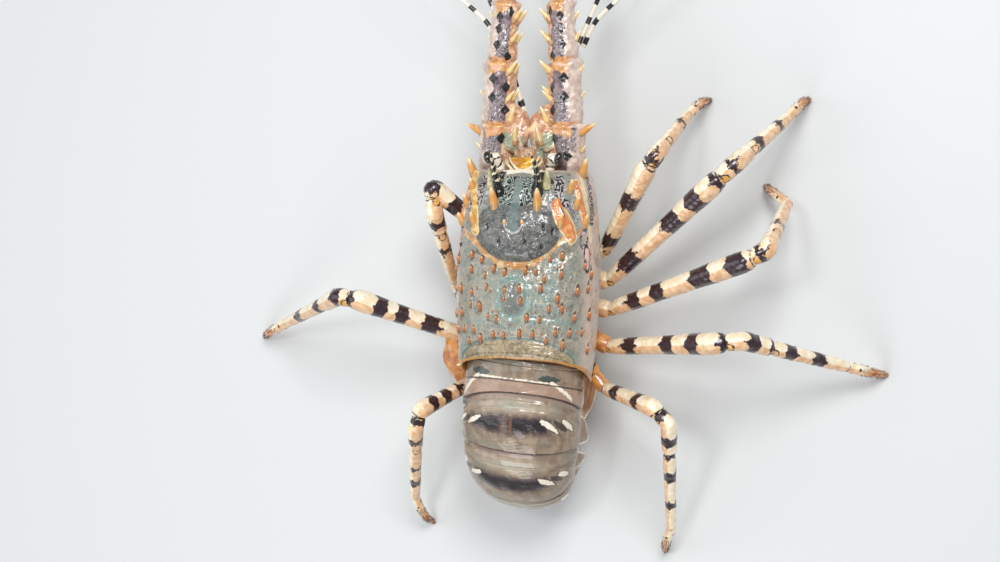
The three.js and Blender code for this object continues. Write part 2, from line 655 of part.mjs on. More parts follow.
function antenna(name, side) {
  const joints = ANTENNA_JOINTS.map((joint) => mirrored(joint, side));
  const draw = seeded(SPINE_SEED + side);
  const pieces = [];
  const cuts = [];
  for (let i = 0; i < 3; i++) {
    const [near, far] = ANTENNA_RADII[i];
    const axis = joints[i + 1].clone().sub(joints[i]).normalize();
    const start = i ? joints[i].clone().addScaledVector(axis, -2) : joints[i];
    const end = joints[i + 1].clone().addScaledVector(axis, 2);
    const square = i ? axis : vector(0, 1, 0);
    const across = vector(0, 0, 0).crossVectors(square, vector(0, 0, 1)).normalize();
    const lift = vector(0, 0, 0).crossVectors(across, square);
    const radii = [near * 0.86, near, (near + far) / 2, far * 1.06, far * 0.8];
    pieces.push(loft([0, 0.14, 0.5, 0.9, 1].map((t, k) => ringAt(
      start.clone().lerp(end, t), across, lift, radii[k], radii[k] * 0.9, 12,
    ))));
    cuts.push({ at: joints[i + 1], facing: axis, radius: 17 });
    for (const place of ANTENNA_SPINE_PLACES[i]) {
      for (const degrees of ANTENNA_SPINE_TURNS[i]) {
        const turn = (degrees + 8 * draw()) * DEGREE;
        const out = across.clone().multiplyScalar(side * Math.cos(turn));
        out.addScaledVector(lift, Math.sin(turn));
        const foot = start.clone().lerp(end, place + 0.03 * draw()).addScaledVector(out, (near + far) * 0.47);
        const size = 1 + 0.2 * draw();
        pieces.push(spine(foot, out, axis, 1.2, ANTENNA_SPINE_LENGTH * size, ANTENNA_SPINE_RADIUS * size));
      }
    }
  }
  const whip = new THREE.CatmullRomCurve3(WHIP_ROUTE.map((p) => mirrored(p, side)), false, "centripetal");
  const middle = whip.getPointAt(WHIP_SPLIT);
  cuts.push({ at: middle, facing: whip.getTangentAt(WHIP_SPLIT), radius: 9 });
  const radius = (t) => [smooth(WHIP_RADII, t), smooth(WHIP_RADII, t)];
  pieces.push(tube(whip.points, radius, 22, 6));
  const marks = [0, 1, 2].map((i) => joints[i].clone().lerp(joints[i + 1], 0.5));
  marks.push(whip.getPointAt(0.2), whip.getPointAt(0.9));
  const names = ["base", "middle", "end", "whip_near", "whip_far"];
  return parted(joined(pieces), cuts, marks).map((solid, i) => node(
    `antenna_${name}_${names[i]}`, solid, ANTENNA_SHELL,
  ));
}

function antennule(name, side) {
  const route = ANTENNULE_ROUTE.map((p) => mirrored(p, side));
  const face = CARAPACE_FRONT + GAP + PLATE_REACH + GAP;
  const stem = ahead(solidOf(tube(route, (t) => [ANTENNULE_RADIUS - t, ANTENNULE_RADIUS - t], 6, 6)), face);
  const pieces = [node(`antennule_${name}_stem`, stem, LEG_SHELL)];
  const end = route.at(-1);
  const spread = { outer: 1, inner: -1 };
  for (const branch of ["outer", "inner"]) {
    const points = FILAMENT_ROUTES[branch].map((p) => mirrored(p, side));
    const leaving = points[1].clone().sub(end).normalize();
    points[0] = end.clone().addScaledVector(leaving, 4).add(vector(side * spread[branch] * 1.9, 0, 0));
    const thread = tube(points, (t) => [FILAMENT_RADIUS - t, FILAMENT_RADIUS - t], 12, 5);
    pieces.push(node(`antennule_${name}_${branch}`, thread, LEG_SHELL));
  }
  return pieces;
}

function abdomen() {
  const group = new THREE.Group();
  for (let number = 1; number <= 6; number++) group.add(somite(number));
  group.add(...tailFan());
  group.rotation.z = ABDOMEN_YAW;
  return group;
}

const body = new THREE.Group();
body.add(head(), sternum(), abdomen());
for (const [name, side] of SIDES) {
  LEGS[name].forEach((shape, number) => body.add(...leg(name, side, number, shape)));
}

// The origin is on the floor, at the middle of the whole model's box.
const box = new THREE.Box3().setFromObject(body, true);
body.position.set(-(box.min.x + box.max.x) / 2, -(box.min.y + box.max.y) / 2, 0);
const lobster = new THREE.Group();
lobster.add(body);

export default lobster;
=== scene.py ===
"""A life-size spiny lobster: finished shell, spines, eyes, legs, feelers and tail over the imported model.

Shapes are worked out in millimetres in the model's own frame, with X to the animal's right, Y forwards
and Z up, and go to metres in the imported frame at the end. Markings are named numbers on each point,
mostly the distance in millimetres inside an edge, which the materials turn into crisp patches.
"""
import math

import bpy
import numpy as np
from mathutils import Matrix, Vector


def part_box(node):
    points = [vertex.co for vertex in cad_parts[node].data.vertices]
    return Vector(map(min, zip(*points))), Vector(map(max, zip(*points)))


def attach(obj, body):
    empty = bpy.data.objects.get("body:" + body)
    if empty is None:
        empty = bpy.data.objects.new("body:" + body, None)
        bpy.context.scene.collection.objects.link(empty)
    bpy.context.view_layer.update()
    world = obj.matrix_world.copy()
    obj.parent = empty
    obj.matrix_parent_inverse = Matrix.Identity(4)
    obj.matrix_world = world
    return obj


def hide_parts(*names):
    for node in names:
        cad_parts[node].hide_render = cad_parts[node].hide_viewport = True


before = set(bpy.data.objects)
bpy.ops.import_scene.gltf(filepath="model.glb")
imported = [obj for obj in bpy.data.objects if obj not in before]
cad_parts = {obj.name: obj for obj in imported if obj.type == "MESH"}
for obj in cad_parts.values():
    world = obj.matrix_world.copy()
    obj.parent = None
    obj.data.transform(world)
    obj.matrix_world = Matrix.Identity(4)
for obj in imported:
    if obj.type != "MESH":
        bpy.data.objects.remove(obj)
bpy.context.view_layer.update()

DEGREE = math.pi / 180
SIDES = (("left", -1), ("right", 1))
SEED = 11
# The value of a marking where it is absent
BARE = -9

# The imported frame's origin beside the model frame's, from the sternum, which spans Y -23 to 83
STERNUM_MIDDLE_Y = 30
sternum_low, sternum_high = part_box("sternum")
SHIFT = np.array([
    (sternum_low.x + sternum_high.x) / 2 * 1000,
    (sternum_low.y + sternum_high.y) / 2 * 1000 - STERNUM_MIDDLE_Y,
    0,
])

# Carapace: a deep arch over a flat underside
CARAPACE_FRONT = 130
CARAPACE_REAR = -9
CARAPACE_CENTRE_Z = 94
CARAPACE_DEPTH = 52
CARAPACE_SQUARENESS = 2.2
MARGIN_TURN = 128 * DEGREE
RIM_SWEEP = 13
RIM_WIDTH = 10
RIM_HEIGHT = 1.2
GROOVE_Y = 60
GROOVE_SWEEP = 28
GROOVE_DEPTH = 2.2
GROOVE_WIDTH = 4
GROOVE_SHIFT = [[-9, 0], [25, 0.3], [60, 1], [95, 0.5], [130, 0]]
HALF_WIDTH = [[-22, 49], [-9, 51], [20, 53], [60, 54], [90, 51.5], [115, 48.5], [130, 44]]
TOP_Z = [
    [-22, 121], [-9, 126], [10, 129], [35, 131], [60, 130], [85, 133], [105, 130], [118, 125], [130, 116],
]
UNDERSIDE_Z = 60.5
HEAD_YAW = -1.8 * DEGREE
# Rings that close its rear and front, from the rear forwards: [scale, step along]
REAR_EDGE = [[0.9, 14], [0.955, 8], [0.965, 2], [0.985, 0.3]]
FRONT_EDGE = [[0.985, 0.1], [0.94, -0.6], [0.8, -1.2], [0.4, -1.5]]
FLOOR_COLUMNS = 24
# Millimetres across it for each degree of turn, near enough for its markings
ACROSS_PER_DEGREE = 0.95
# Dark slots of its domed front: [place along, place across]
DOME_PITS = [[85.4, -20.1], [75.3, -9.6], [76, 7.8], [85.4, 21.5], [80.9, 28.9], [71.1, 19.6]]
# How its markings stand out: [marking, height, mark where it starts, mark where it is full]
CARAPACE_RELIEF = [
    ["dome", 2.2, 0, 8], ["pits", -1.5, -0.8, 0.8], ["orange", 1.5, -1, 3], ["heart", 0.8, -1, 3],
    ["lines", 0.5, -1, 1], ["oval", 0.8, -1, 2], ["groove", -0.9, -1, 3], ["maze", -0.6, -1, 2],
    ["near", 0.5, 3.2, 1.2], ["smile", 0.3, -0.5, 0.5],
]

# Spines of the carapace: [place along it, turn from the midline in degrees, length, root radius]
LARGE_SPINES = [
    [102, 17, 15, 3.4], [127, 70, 13, 3.4], [113, 49, 9, 2.6], [98, 56, 8.5, 2.6], [85, 38, 9, 2.6],
    [76, 66, 8, 2.6], [88, 6, 5.5, 1.9],
]
# Small spines of its rear: the turns in degrees of each row of them, by place along it
SMALL_SPINES = [
    [58, [27, 40]], [53, [7, 15]], [47, [23, 37, 62]], [40, [5, 20, 73]], [33, [6, 36, 54, 69]],
    [26, [27, 38]], [19, [10, 20, 52, 73]], [11, [33, 48, 62]], [8, [5, 16]], [3, [27, 42, 73]],
]
SMALL_SPINE_LENGTH = 4.4
SMALL_SPINE_RADIUS = 1.65
# The blunt olive spine beside each horn: [place along, turn from the midline in degrees]
OLIVE_SPINE = [116, 24]

# Abdomen: six ringed somites along a line that rolls from level to upside down
ABDOMEN_START_Y = -7
ABDOMEN_YAW = -7 * DEGREE
SOMITE_ENDS = [0, 28, 74, 124, 168, 206, 238]
BACK_TURN = [[0, 0], [28, 4], [74, 18], [124, 58], [168, 106], [206, 152], [238, 180]]
ABDOMEN_HALF_WIDTH = [[0, 44], [28, 45.5], [74, 45], [124, 41], [168, 36], [206, 32], [238, 28]]
ABDOMEN_THICKNESS = [[0, 50], [28, 53], [74, 53], [124, 48], [168, 41], [206, 32], [238, 22]]
TAIL_LEVEL = 2.2
ABDOMEN_SWEEP = 18
ABDOMEN_SKEW = 6
# How far each ring stands proud, by the share along it
SOMITE_PROUD = [
    [0, -1.6], [0.08, -1.4], [0.14, -0.2], [0.4, 0.5], [0.7, 0.5], [0.93, 0.8], [0.985, 0.6], [1, -0.8],
]
SOMITE_MARKS = ["band", "green", "shade", "white", "tick", "seam", "glow", "pink"]
# The back line is worked out once, at each of these steps
BACK_STEPS = 2380
# Blades of the tail fan: length, half widths from root to tip, and the heights they lie between
TELSON = (
    68,
    [15, 17, 18.5, 19, 18, 15.5, 10],
    [[0.8, 9], [0, 5], [0, 2.6], [0, 2.2], [0, 2], [0, 1.8], [0, 1.6]],
)
INNER_BLADE = (
    68,
    [5, 10, 12.8, 13.6, 13, 10.5, 6],
    [[9.4, 14], [5.4, 8.5], [3, 5.4], [2.6, 4.6], [2.4, 4.3], [2.2, 4], [2, 3.8]],
)
OUTER_BLADE = (
    66,
    [5, 10, 13.5, 15, 14, 11, 6],
    [[14.4, 18.5], [9, 12.5], [5.8, 8.2], [5, 7], [4.7, 6.6], [4.4, 6.2], [4.2, 5.9]],
)
# The side blades: name, shape, place of the root across, and turn outwards
UROPODS = (("inner", INNER_BLADE, 14.5, 0.03), ("outer", OUTER_BLADE, 19, 0.06))

# Legs: hip, knee, wrist, ankle and toe of each, and its thickness beside the front legs'
COXA_Z = 50
LEGS = {
    "right": [
        ([[49, 71, 48], [91, 130, 90], [99, 140, 92], [111, 175, 34], [121, 189, 0]], 0.95),
        ([[52, 48, 48], [141, 117, 96], [158, 132, 96], [187, 171, 32], [198, 187, 0]], 1),
        ([[53, 26, 49], [166, 62, 100], [182, 70, 100], [186, 106, 32], [165, 121, 0]], 1),
        ([[53, -2, 50], [145, 3, 102], [165, 5, 100], [231, -16, 30], [256, -23, 0]], 1),
        ([[50, -34, 50], [99, -44, 102], [111, -56, 102], [97, -142, 30], [86, -164, 0]], 0.85),
    ],
    "left": [
        ([[-42, 84, 50], [-76, 119, 88], [-76, 100, 85], [-80, 47, 28], [-78, 28, 0]], 0.95),
        ([[-38, 58, 37], [-36, 136, 24], [-41, 150, 18], [-56, 96, 12], [-58, 66, 0]], 0.85),
        ([[-52, 42, 44], [-60, 104, 36], [-62, 117, 28], [-67, 66, 14], [-62, 34, 0]], 0.85),
        ([[-60, 4, 51], [-129, 33, 106], [-148, 36, 104], [-224, 14, 32], [-260, 1, 0]], 1),
        ([[-56, -30, 50], [-82, -50, 98], [-87, -64, 97], [-112, -126, 32], [-108, -150, 0]], 0.85),
    ],
}
# Dark bands of each leg: [millimetres from the hip, half width]
LEG_BANDS = {
    "right": [
        [[16, 7], [56, 10], [94, 3], [148, 2], [181, 4]],
        [[31, 14], [82, 12], [108, 10], [129, 3], [144, 1.5], [178, 5], [208, 3]],
        [[30, 8], [53, 8], [94, 13], [126, 10], [143, 3], [183, 2]],
        [[28, 9], [66, 8], [91, 7.5], [113, 3], [133, 6.5], [149, 1.5], [168, 7], [195, 8], [233, 1.5]],
        [[4, 2.5], [24, 7], [57, 7], [82, 3], [104, 6], [121, 1.5], [143, 7], [174, 5], [210, 1.5]],
    ],
    "left": [
        [[16, 7], [42, 7], [64, 3], [90, 5], [120, 3]],
        [[20, 8], [48, 9], [78, 6], [98, 3], [125, 4]],
        [[16, 7], [40, 8], [64, 4], [92, 5], [120, 3]],
        [[36, 10], [61, 7], [79, 7], [100, 3], [112, 4], [148, 6], [188, 8], [225, 1.5]],
        [[22, 2.5], [36, 6], [50, 5], [68, 3], [87, 4], [124, 1.5], [143, 5], [175, 1.5]],
    ],
}
BAND_SHARE = 0.62
# How far the leg's upper joint and its short middle joint reach past the knee and the wrist
KNEE_SHARE = 0.4
WRIST_SHARE = 0.25
# The sternum's corners between the legs, front to rear, as [place along, half width]
STERNUM_CORNERS = [[83, 18], [62, 23.5], [42, 27], [21, 30], [-1, 31.5], [-23, 28]]
# Radii of the leg's segments, by the share along each
COXA_PROFILE = [[0, 8.0], [0.35, 8.0], [0.7, 7.7], [0.9, 6.4], [1, 5]]
ISCHIUM_PROFILE = [[0, 6], [0.3, 7], [0.8, 7.2], [1, 5.5]]
MERUS_PROFILE = [[0, 5.2], [0.1, 6.6], [0.5, 7.4], [0.9, 8.6], [1, 7.2]]
CARPUS_PROFILE = [[0, 6.5], [0.2, 7.3], [0.8, 7], [1, 5.9]]
SHIN_PROFILE = [[0, 4.8], [0.14, 5.9], [0.5, 5.4], [0.86, 4.9], [1, 4.1]]
TOE_PROFILE = [[0, 3.4], [0.12, 4.2], [0.5, 3.5], [0.85, 2.3], [1, 1.9]]
# A leg's markings where it has none
BARE_LEG = dict.fromkeys(["band", "joint", "line", "amber", "toe"], BARE)
# The bulge between the last two left legs, as a line and its radii along it
FLANK_ROUTE = [[-50, 14, 55], [-64, 0, 55], [-63, -20, 55], [-48, -34, 55]]
FLANK_WIDTHS = [[0, 3], [0.2, 10], [0.45, 14], [0.75, 11], [1, 3]]

# Antennae and antennules
ANTENNA_JOINTS = [[28, 130.3, 91], [27, 165, 95], [24.5, 213, 98], [20.5, 257, 101]]
ANTENNA_RADII = [[13.5, 12.5], [12.5, 11.5], [11, 9]]
WHIP_ROUTE = [[20.5, 257, 101], [21, 300, 109], [36, 420, 146], [78, 560, 190], [150, 690, 214]]
WHIP_RADII = [[0, 6.6], [0.06, 5.6], [0.5, 3.6], [1, 0.9]]
WHIP_ROWS = 1400
WHIP_RING_SPACING = 2.1
WHIP_BAND_SPACING = 44
ANTENNA_SPINE_PLACES = [[0.45, 0.78], [0.45, 0.8], [0.35, 0.68]]
ANTENNA_SPINE_TURNS = [[10], [0, 168], [0, 178]]
ANTENNA_SPINE_LENGTH = 7.5
ANTENNA_SPINE_RADIUS = 2
# Winding lines on each joint of the antenna: middle and half length along it, and degrees outwards
ANTENNA_MAZES = [[23, 9, 12], [12.5, 12.5, -8], [15, 13, -14]]
# Black spots on each joint: [place along in mm, place round it from its top in degrees]
ANTENNA_SPOTS = [
    [[11, 12], [24, -30]],
    [[22, 10], [36, 10], [13, -40], [30, -40]],
    [[13, 10], [25, 10], [34, 10], [5, -40], [38, -40]],
]
# The inner shoulder of the antenna's base, as a line and its radii along it
LOBE_ROUTE = [[17, 146, 99], [10.6, 157, 100], [10.4, 167, 99], [15, 180, 98]]
LOBE_WIDTHS = [[0, 5], [0.3, 10.3], [0.62, 9.6], [1, 3]]
# Large pale spines on the antenna's inner side and the blunt one on its outer side: foot, tip and radius
INNER_SPINES = [
    ([10, 152, 104], [8, 163, 111], 2.6), ([15, 166, 103], [10, 178, 108], 2.8),
    ([18, 182, 103], [10, 190, 107], 2.2), ([17, 203, 104], [8, 212, 109], 2.7),
    ([15, 226, 105], [8, 234, 108], 2.2), ([13, 243, 104], [6, 251, 107], 2.3),
]
OUTER_SPINE = ([38, 159, 97], [51, 166, 99], 3.8)
# The plate between the antennae, and its thorns: foot, tip and radius
PLATE_REAR = CARAPACE_FRONT + 0.3
PLATE_FRONT = 148.3
FACE_THORNS = [([6, 138.3, 106], [7.5, 147.3, 113], 2.4), ([5, 144.3, 103], [6, 156.3, 106], 2.2)]
CRESCENT_HALF_WIDTH = 11.4
ANTENNULE_ROUTE = [[6, 147, 93], [12, 176, 80], [29, 222, 77]]
ANTENNULE_RADIUS = 3.2
FILAMENT_ROUTES = {
    "outer": [[29, 222, 77], [43, 244, 80], [63, 262, 84], [110, 306, 96], [150, 360, 104]],
    "inner": [[29, 222, 77], [36, 246, 74], [46, 268, 76], [78, 330, 88], [96, 396, 92]],
}
FILAMENT_RADIUS = 2.1
EYE_ROOT = [19, 130.3, 109]
EYE_CENTRE = [23, 140.5, 114]
HORN_FOOT = [14.5, 112]
HORN_TIP = [15, 141, 146]
# Black bands of the horns: [place along, half width]
HORN_BANDS = [[5, 7], [15.5, 2.4], [21.5, 2.4], [28, 2.0], [34.5, 1.4]]
MAXILLIPED_ROUTE = [[20, 88, 51], [21, 104, 46], [17, 124, 44], [8, 132, 40], [7, 112, 37]]
MAXILLIPED_JOINTS = [0.36, 0.62, 0.82]

# Camera, as in the photograph: its roll about the animal's length, and what it looks at
VIEW_ROLL = 18 * DEGREE
VIEW_TARGET = [-20, 48, 100]
VIEW_DISTANCE = 1300
VIEW_SCALE = 0.75
PICTURE_WIDTH = 1000
SENSOR_WIDTH = 36
VIEW_SHIFT = 2

# The floor's half width, the room's light, and lamps in metres: name, place, power and width
FLOOR_REACH = 6.0
ROOM_COLOUR = (0.92, 0.96, 1, 1)
ROOM_STRENGTH = 0.42
LIGHTS = [
    ("key_light", (0.5, 0.45, 1.35), 15, 0.55),
    ("fill_light", (-1.2, -0.2, 1.1), 6, 1.2),
    ("rim_light", (-0.2, -1.2, 0.9), 5, 0.7),
    ("top_light", (-0.15, 0.1, 1.9), 6, 0.3),
]
LIGHTS_TARGET = (0, -0.2, 0.08)


def smooth(pairs, place):
    """The value at each place on a smooth line through [place, value] pairs."""
    xs, ys = np.array(pairs, float).T
    place = np.clip(place, xs[0], xs[-1])
    last = len(xs) - 1
    before = np.maximum(np.arange(last + 1) - 1, 0)
    after = np.minimum(np.arange(last + 1) + 1, last)
    slope = (ys[after] - ys[before]) / (xs[after] - xs[before])
    i = np.clip(np.searchsorted(xs, place, side="right") - 1, 0, last - 1)
    span = xs[i + 1] - xs[i]
    t = (place - xs[i]) / span
    start = ys[i] * (1 + 2 * t) * (1 - t) ** 2 + slope[i] * span * t * (1 - t) ** 2
    end = ys[i + 1] * t * t * (3 - 2 * t) + slope[i + 1] * span * t * t * (t - 1)
    return start + end


def unit(vectors):
    vectors = np.asarray(vectors, float)
    return vectors / np.maximum(np.linalg.norm(vectors, axis=-1, keepdims=True), 1e-9)


def mirrored(point, side):
    return np.array([point[0] * side, point[1], point[2]], float)


def rise(value, low, high):
    """0 below low, 1 above high and smooth between."""
    t = np.clip((value - low) / (high - low), 0, 1)
    return t * t * (3 - 2 * t)


def bump(value, middle, width):
    return np.exp(-(((value - middle) / width) ** 2))


def ripple(points, size, seed):
    """A smooth repeatable unevenness between about -1 and 1, with waves about size apart."""
    rng = np.random.default_rng(seed)
    total = 0
    for _ in range(7):
        way = unit(rng.normal(size=3)) * rng.uniform(0.7, 1.4) * 2 * math.pi / size
        total = total + np.sin(points @ way + rng.uniform(0, 2 * math.pi))
    return total / 3.5


def union(*fields):
    return np.maximum.reduce(fields)


def fewer(full):
    """The full number."""
    return full


def round_turns(count):
    """The turn of each of count columns round a path."""
    return (np.arange(count) + 0.5) / count * 2 * math.pi


def squared(turn, power):
    """The cosine and sine of each turn, drawn towards a square as the power falls."""
    waves = np.stack([np.cos(turn), np.sin(turn)])
    return np.sign(waves) * np.abs(waves) ** power


def spread(values, grid):
    """Values along a path, given to every point of its rings."""
    return np.broadcast_to(values[:, None], grid.shape[:2])


def normals_of(grid, wrap=False):
    """Outward directions of a grid whose rows run along and whose columns run round."""
    if wrap:
        around = np.roll(grid, -1, axis=1) - np.roll(grid, 1, axis=1)
    else:
        around = np.gradient(grid, axis=1)
    return unit(np.cross(around, np.gradient(grid, axis=0)))


def lifted(grid, relief, path=None):
    """A closed grid with relief on it. A path inside it says which way is out."""
    out = normals_of(grid, True)
    middle = len(grid) // 2
    if path is not None and out[middle, 0] @ (grid[middle, 0] - path[middle]) < 0:
        out = -out
    return grid + out * relief[..., None]


class Piece:
    """Surfaces gathered into one mesh, with named numbers on each point."""

    def __init__(self, name, slot, material, nodes=(), yaw=0):
        self.name = name
        self.slot = slot
        self.material = material
        self.nodes = nodes
        self.yaw = yaw
        self.points = []
        self.quads = []
        self.triangles = []
        self.marks = {}
        self.count = 0

    def add(self, grid, wrap=True, caps=True, **marks):
        """Adds a grid of points. With wrap its columns close into rings, and caps closes its ends."""
        grid = np.asarray(grid, float)
        rows, columns = grid.shape[:2]
        across = columns if wrap else columns - 1
        index = np.arange(rows * columns).reshape(rows, columns)
        a = index[:-1, :across]
        b = np.roll(index, -1, axis=1)[:-1, :across]
        c = np.roll(index, -1, axis=1)[1:, :across]
        d = index[1:, :across]
        quads = np.stack([a, b, c, d], -1).reshape(-1, 4)
        flat = grid.reshape(-1, 3)
        triangles = np.zeros((0, 3), int)
        ends = []
        if wrap and caps:
            ends = [flat[index[0]].mean(0), flat[index[-1]].mean(0)]
            first = np.stack([np.full(columns, len(flat)), np.roll(index[0], -1), index[0]], -1)
            last = np.stack([np.full(columns, len(flat) + 1), index[-1], np.roll(index[-1], -1)], -1)
            triangles = np.concatenate([first, last])
        every = np.concatenate([flat, np.array(ends).reshape(-1, 3)])
        if wrap:
            fan = np.concatenate([quads[:, [0, 1, 2]], quads[:, [0, 2, 3]], triangles])
            p, q, r = (every[fan[:, i]] for i in range(3))
            if np.einsum("ij,ij->i", p, np.cross(q, r)).sum() < 0:
                quads = quads[:, ::-1]
                triangles = triangles[:, ::-1]
        self.quads.append(quads + self.count)
        self.triangles.append(triangles + self.count)
        self.points.append(every)
        for name in set(self.marks) | set(marks):
            value = marks.get(name, 0)
            values = np.broadcast_to(np.asarray(value, float), (rows, columns))
            if ends:
                values = np.concatenate([values.ravel(), [values[0].mean(), values[-1].mean()]])
            stored = self.marks.setdefault(name, [np.zeros(self.count)] if self.count else [])
            stored.append(values.ravel())
        self.count += len(every)

    def done(self):
        """Makes the object, sets its material, attaches it to what it rides on and hides the parts it stands
        for.
        """
        points = np.concatenate(self.points)
        turn = np.array([
            [math.cos(self.yaw), -math.sin(self.yaw), 0],
            [math.sin(self.yaw), math.cos(self.yaw), 0],
            [0, 0, 1],
        ])
        points = (points @ turn.T + SHIFT) / 1000
        quads = np.concatenate(self.quads)
        triangles = np.concatenate(self.triangles)
        mesh = bpy.data.meshes.new(self.name)
        mesh.vertices.add(len(points))
        mesh.vertices.foreach_set("co", points.astype(np.float32).ravel())
        mesh.loops.add(quads.size + triangles.size)
        corners = np.concatenate([quads.ravel(), triangles.ravel()])
        mesh.loops.foreach_set("vertex_index", corners.astype(np.int32))
        mesh.polygons.add(len(quads) + len(triangles))
        starts = np.concatenate([np.arange(len(quads)) * 4, quads.size + np.arange(len(triangles)) * 3])
        mesh.polygons.foreach_set("loop_start", starts.astype(np.int32))
        mesh.update(calc_edges=True)
        mesh.validate()
        mesh.polygons.foreach_set("use_smooth", np.ones(len(mesh.polygons), bool))
        for name, values in self.marks.items():
            mark = mesh.attributes.new(name, "FLOAT", "POINT")
            mark.data.foreach_set("value", np.concatenate(values).astype(np.float32))
        mesh.materials.append(self.material)
        made = bpy.data.objects.new(self.name, mesh)
        bpy.context.scene.collection.objects.link(made)
        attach(made, "root")
        if self.nodes:
            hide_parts(*self.nodes)
        return made


def colour(code):
    """A linear colour from its usual six-digit name."""
    channels = [int(code[i:i + 2], 16) / 255 for i in (0, 2, 4)]
    return tuple(c / 12.92 if c <= 0.04045 else ((c + 0.055) / 1.055) ** 2.4 for c in channels) + (1,)


class Paint:
    """A procedural material, built step by step. Lengths are in millimetres."""

    def __init__(self, name):
        self.material = bpy.data.materials.new(name)
        self.material.use_nodes = True
        self.tree = self.material.node_tree
        self.tree.nodes.clear()
        self.place = self.node("ShaderNodeTexCoord").outputs["Object"]
        self.place = self.stretched((1000, 1000, 1000))

    def node(self, kind, **settings):
        made = self.tree.nodes.new(kind)
        for name, value in settings.items():
            setattr(made, name, value)
        return made

    def put(self, socket, value):
        """Gives a socket its value: another node's output, a number or a colour's name."""
        if isinstance(value, bpy.types.NodeSocket):
            self.tree.links.new(value, socket)
        else:
            socket.default_value = colour(value) if isinstance(value, str) else value

    def stretched(self, factors):
        """The place, stretched along each axis."""
        made = self.node("ShaderNodeVectorMath", operation="MULTIPLY")
        self.put(made.inputs[0], self.place)
        made.inputs[1].default_value = factors
        return made.outputs[0]

    def mark(self, name):
        return self.node("ShaderNodeAttribute", attribute_name=name).outputs["Fac"]

    def calc(self, operation, *values):
        made = self.node("ShaderNodeMath", operation=operation)
        for socket, value in zip(made.inputs, values):
            self.put(socket, value)
        return made.outputs[0]

    def sum_of(self, value, factor, more):
        """value times factor, plus more."""
        return self.calc("MULTIPLY_ADD", value, factor, more)

    def noise(self, size, detail=3, warp=0, place=None):
        """Cloudy noise about 0.5, with blotches about size across."""
        made = self.node("ShaderNodeTexNoise")
        self.put(made.inputs["Vector"], place or self.place)
        made.inputs["Scale"].default_value = 1 / size
        made.inputs["Detail"].default_value = detail
        made.inputs["Distortion"].default_value = warp
        return made.outputs[0]

    def cells(self, size):
        """The distance to the nearest of scattered points about size apart, beside size."""
        made = self.node("ShaderNodeTexVoronoi")
        self.put(made.inputs["Vector"], self.place)
        made.inputs["Scale"].default_value = 1 / size
        return made.outputs["Distance"]

    def step(self, value, start, end):
        """0 before start, 1 past end and smooth between."""
        made = self.node("ShaderNodeMapRange", interpolation_type="SMOOTHSTEP")
        self.put(made.inputs["Value"], value)
        made.inputs["From Min"].default_value = start
        made.inputs["From Max"].default_value = end
        return made.outputs[0]

    def mix(self, under, over, share):
        made = self.node("ShaderNodeMix", data_type="RGBA")
        self.put(made.inputs["Factor"], share)
        self.put(made.inputs[6], under)
        self.put(made.inputs[7], over)
        return made.outputs[2]

    def blend(self, under, over, value, start, end, share=1.0):
        """A colour laid over another by the share given, where the value is past end."""
        return self.mix(under, over, self.calc("MULTIPLY", self.step(value, start, end), share))

    def uneven(self, name, size, detail, swing):
        """A mark with noise added, up to half the swing either way."""
        return self.sum_of(self.calc("SUBTRACT", self.noise(size, detail), 0.5), swing, self.mark(name))

    def patch(self, under, over, name, soft=0.4, wobble=0.8, share=1.0, size=2.5):
        """A colour laid over another where a mark is above 0, with an uneven edge."""
        return self.blend(under, over, self.uneven(name, size, 3, wobble * 4), -soft, soft, share)

    def maze(self, size, turns, start, end):
        """Winding lines, as on a map: 1 on the dark lines."""
        height = self.noise(size, detail=0, warp=0.8)
        wave = self.calc("SINE", self.calc("MULTIPLY", height, turns * 2 * math.pi))
        return self.step(wave, start, end)

    def finish(self, surface, rough=0.35, relief=None, depth=0.3, coat=0.5, fine=0.06, clear=0.0):
        """Joins the colour, the gloss and the relief into the material."""
        shader = self.node("ShaderNodeBsdfPrincipled")
        self.put(shader.inputs["Base Color"], surface)
        self.put(shader.inputs["Roughness"], rough)
        shader.inputs["Coat Weight"].default_value = coat
        shader.inputs["Coat Roughness"].default_value = fine
        shader.inputs["Subsurface Weight"].default_value = clear
        shader.inputs["Subsurface Radius"].default_value = (0.004, 0.002, 0.001)
        shader.inputs["Subsurface Scale"].default_value = 1.0
        if relief is not None:
            made = self.node("ShaderNodeBump")
            made.inputs["Distance"].default_value = depth / 1000
            made.inputs["Strength"].default_value = 1.0
            self.put(made.inputs["Height"], relief)
            self.put(shader.inputs["Normal"], made.outputs[0])
        output = self.node("ShaderNodeOutputMaterial")
        self.tree.links.new(shader.outputs[0], output.inputs["Surface"])
        return self.material

    def grain(self):
        """Relief of wet shell: a gentle swell with small pits and granules."""
        low = self.sum_of(self.noise(1.1, detail=2), 0.35, self.noise(9, detail=2))
        return self.sum_of(self.step(self.cells(3.2), 0.0, 0.28), 0.35, low)


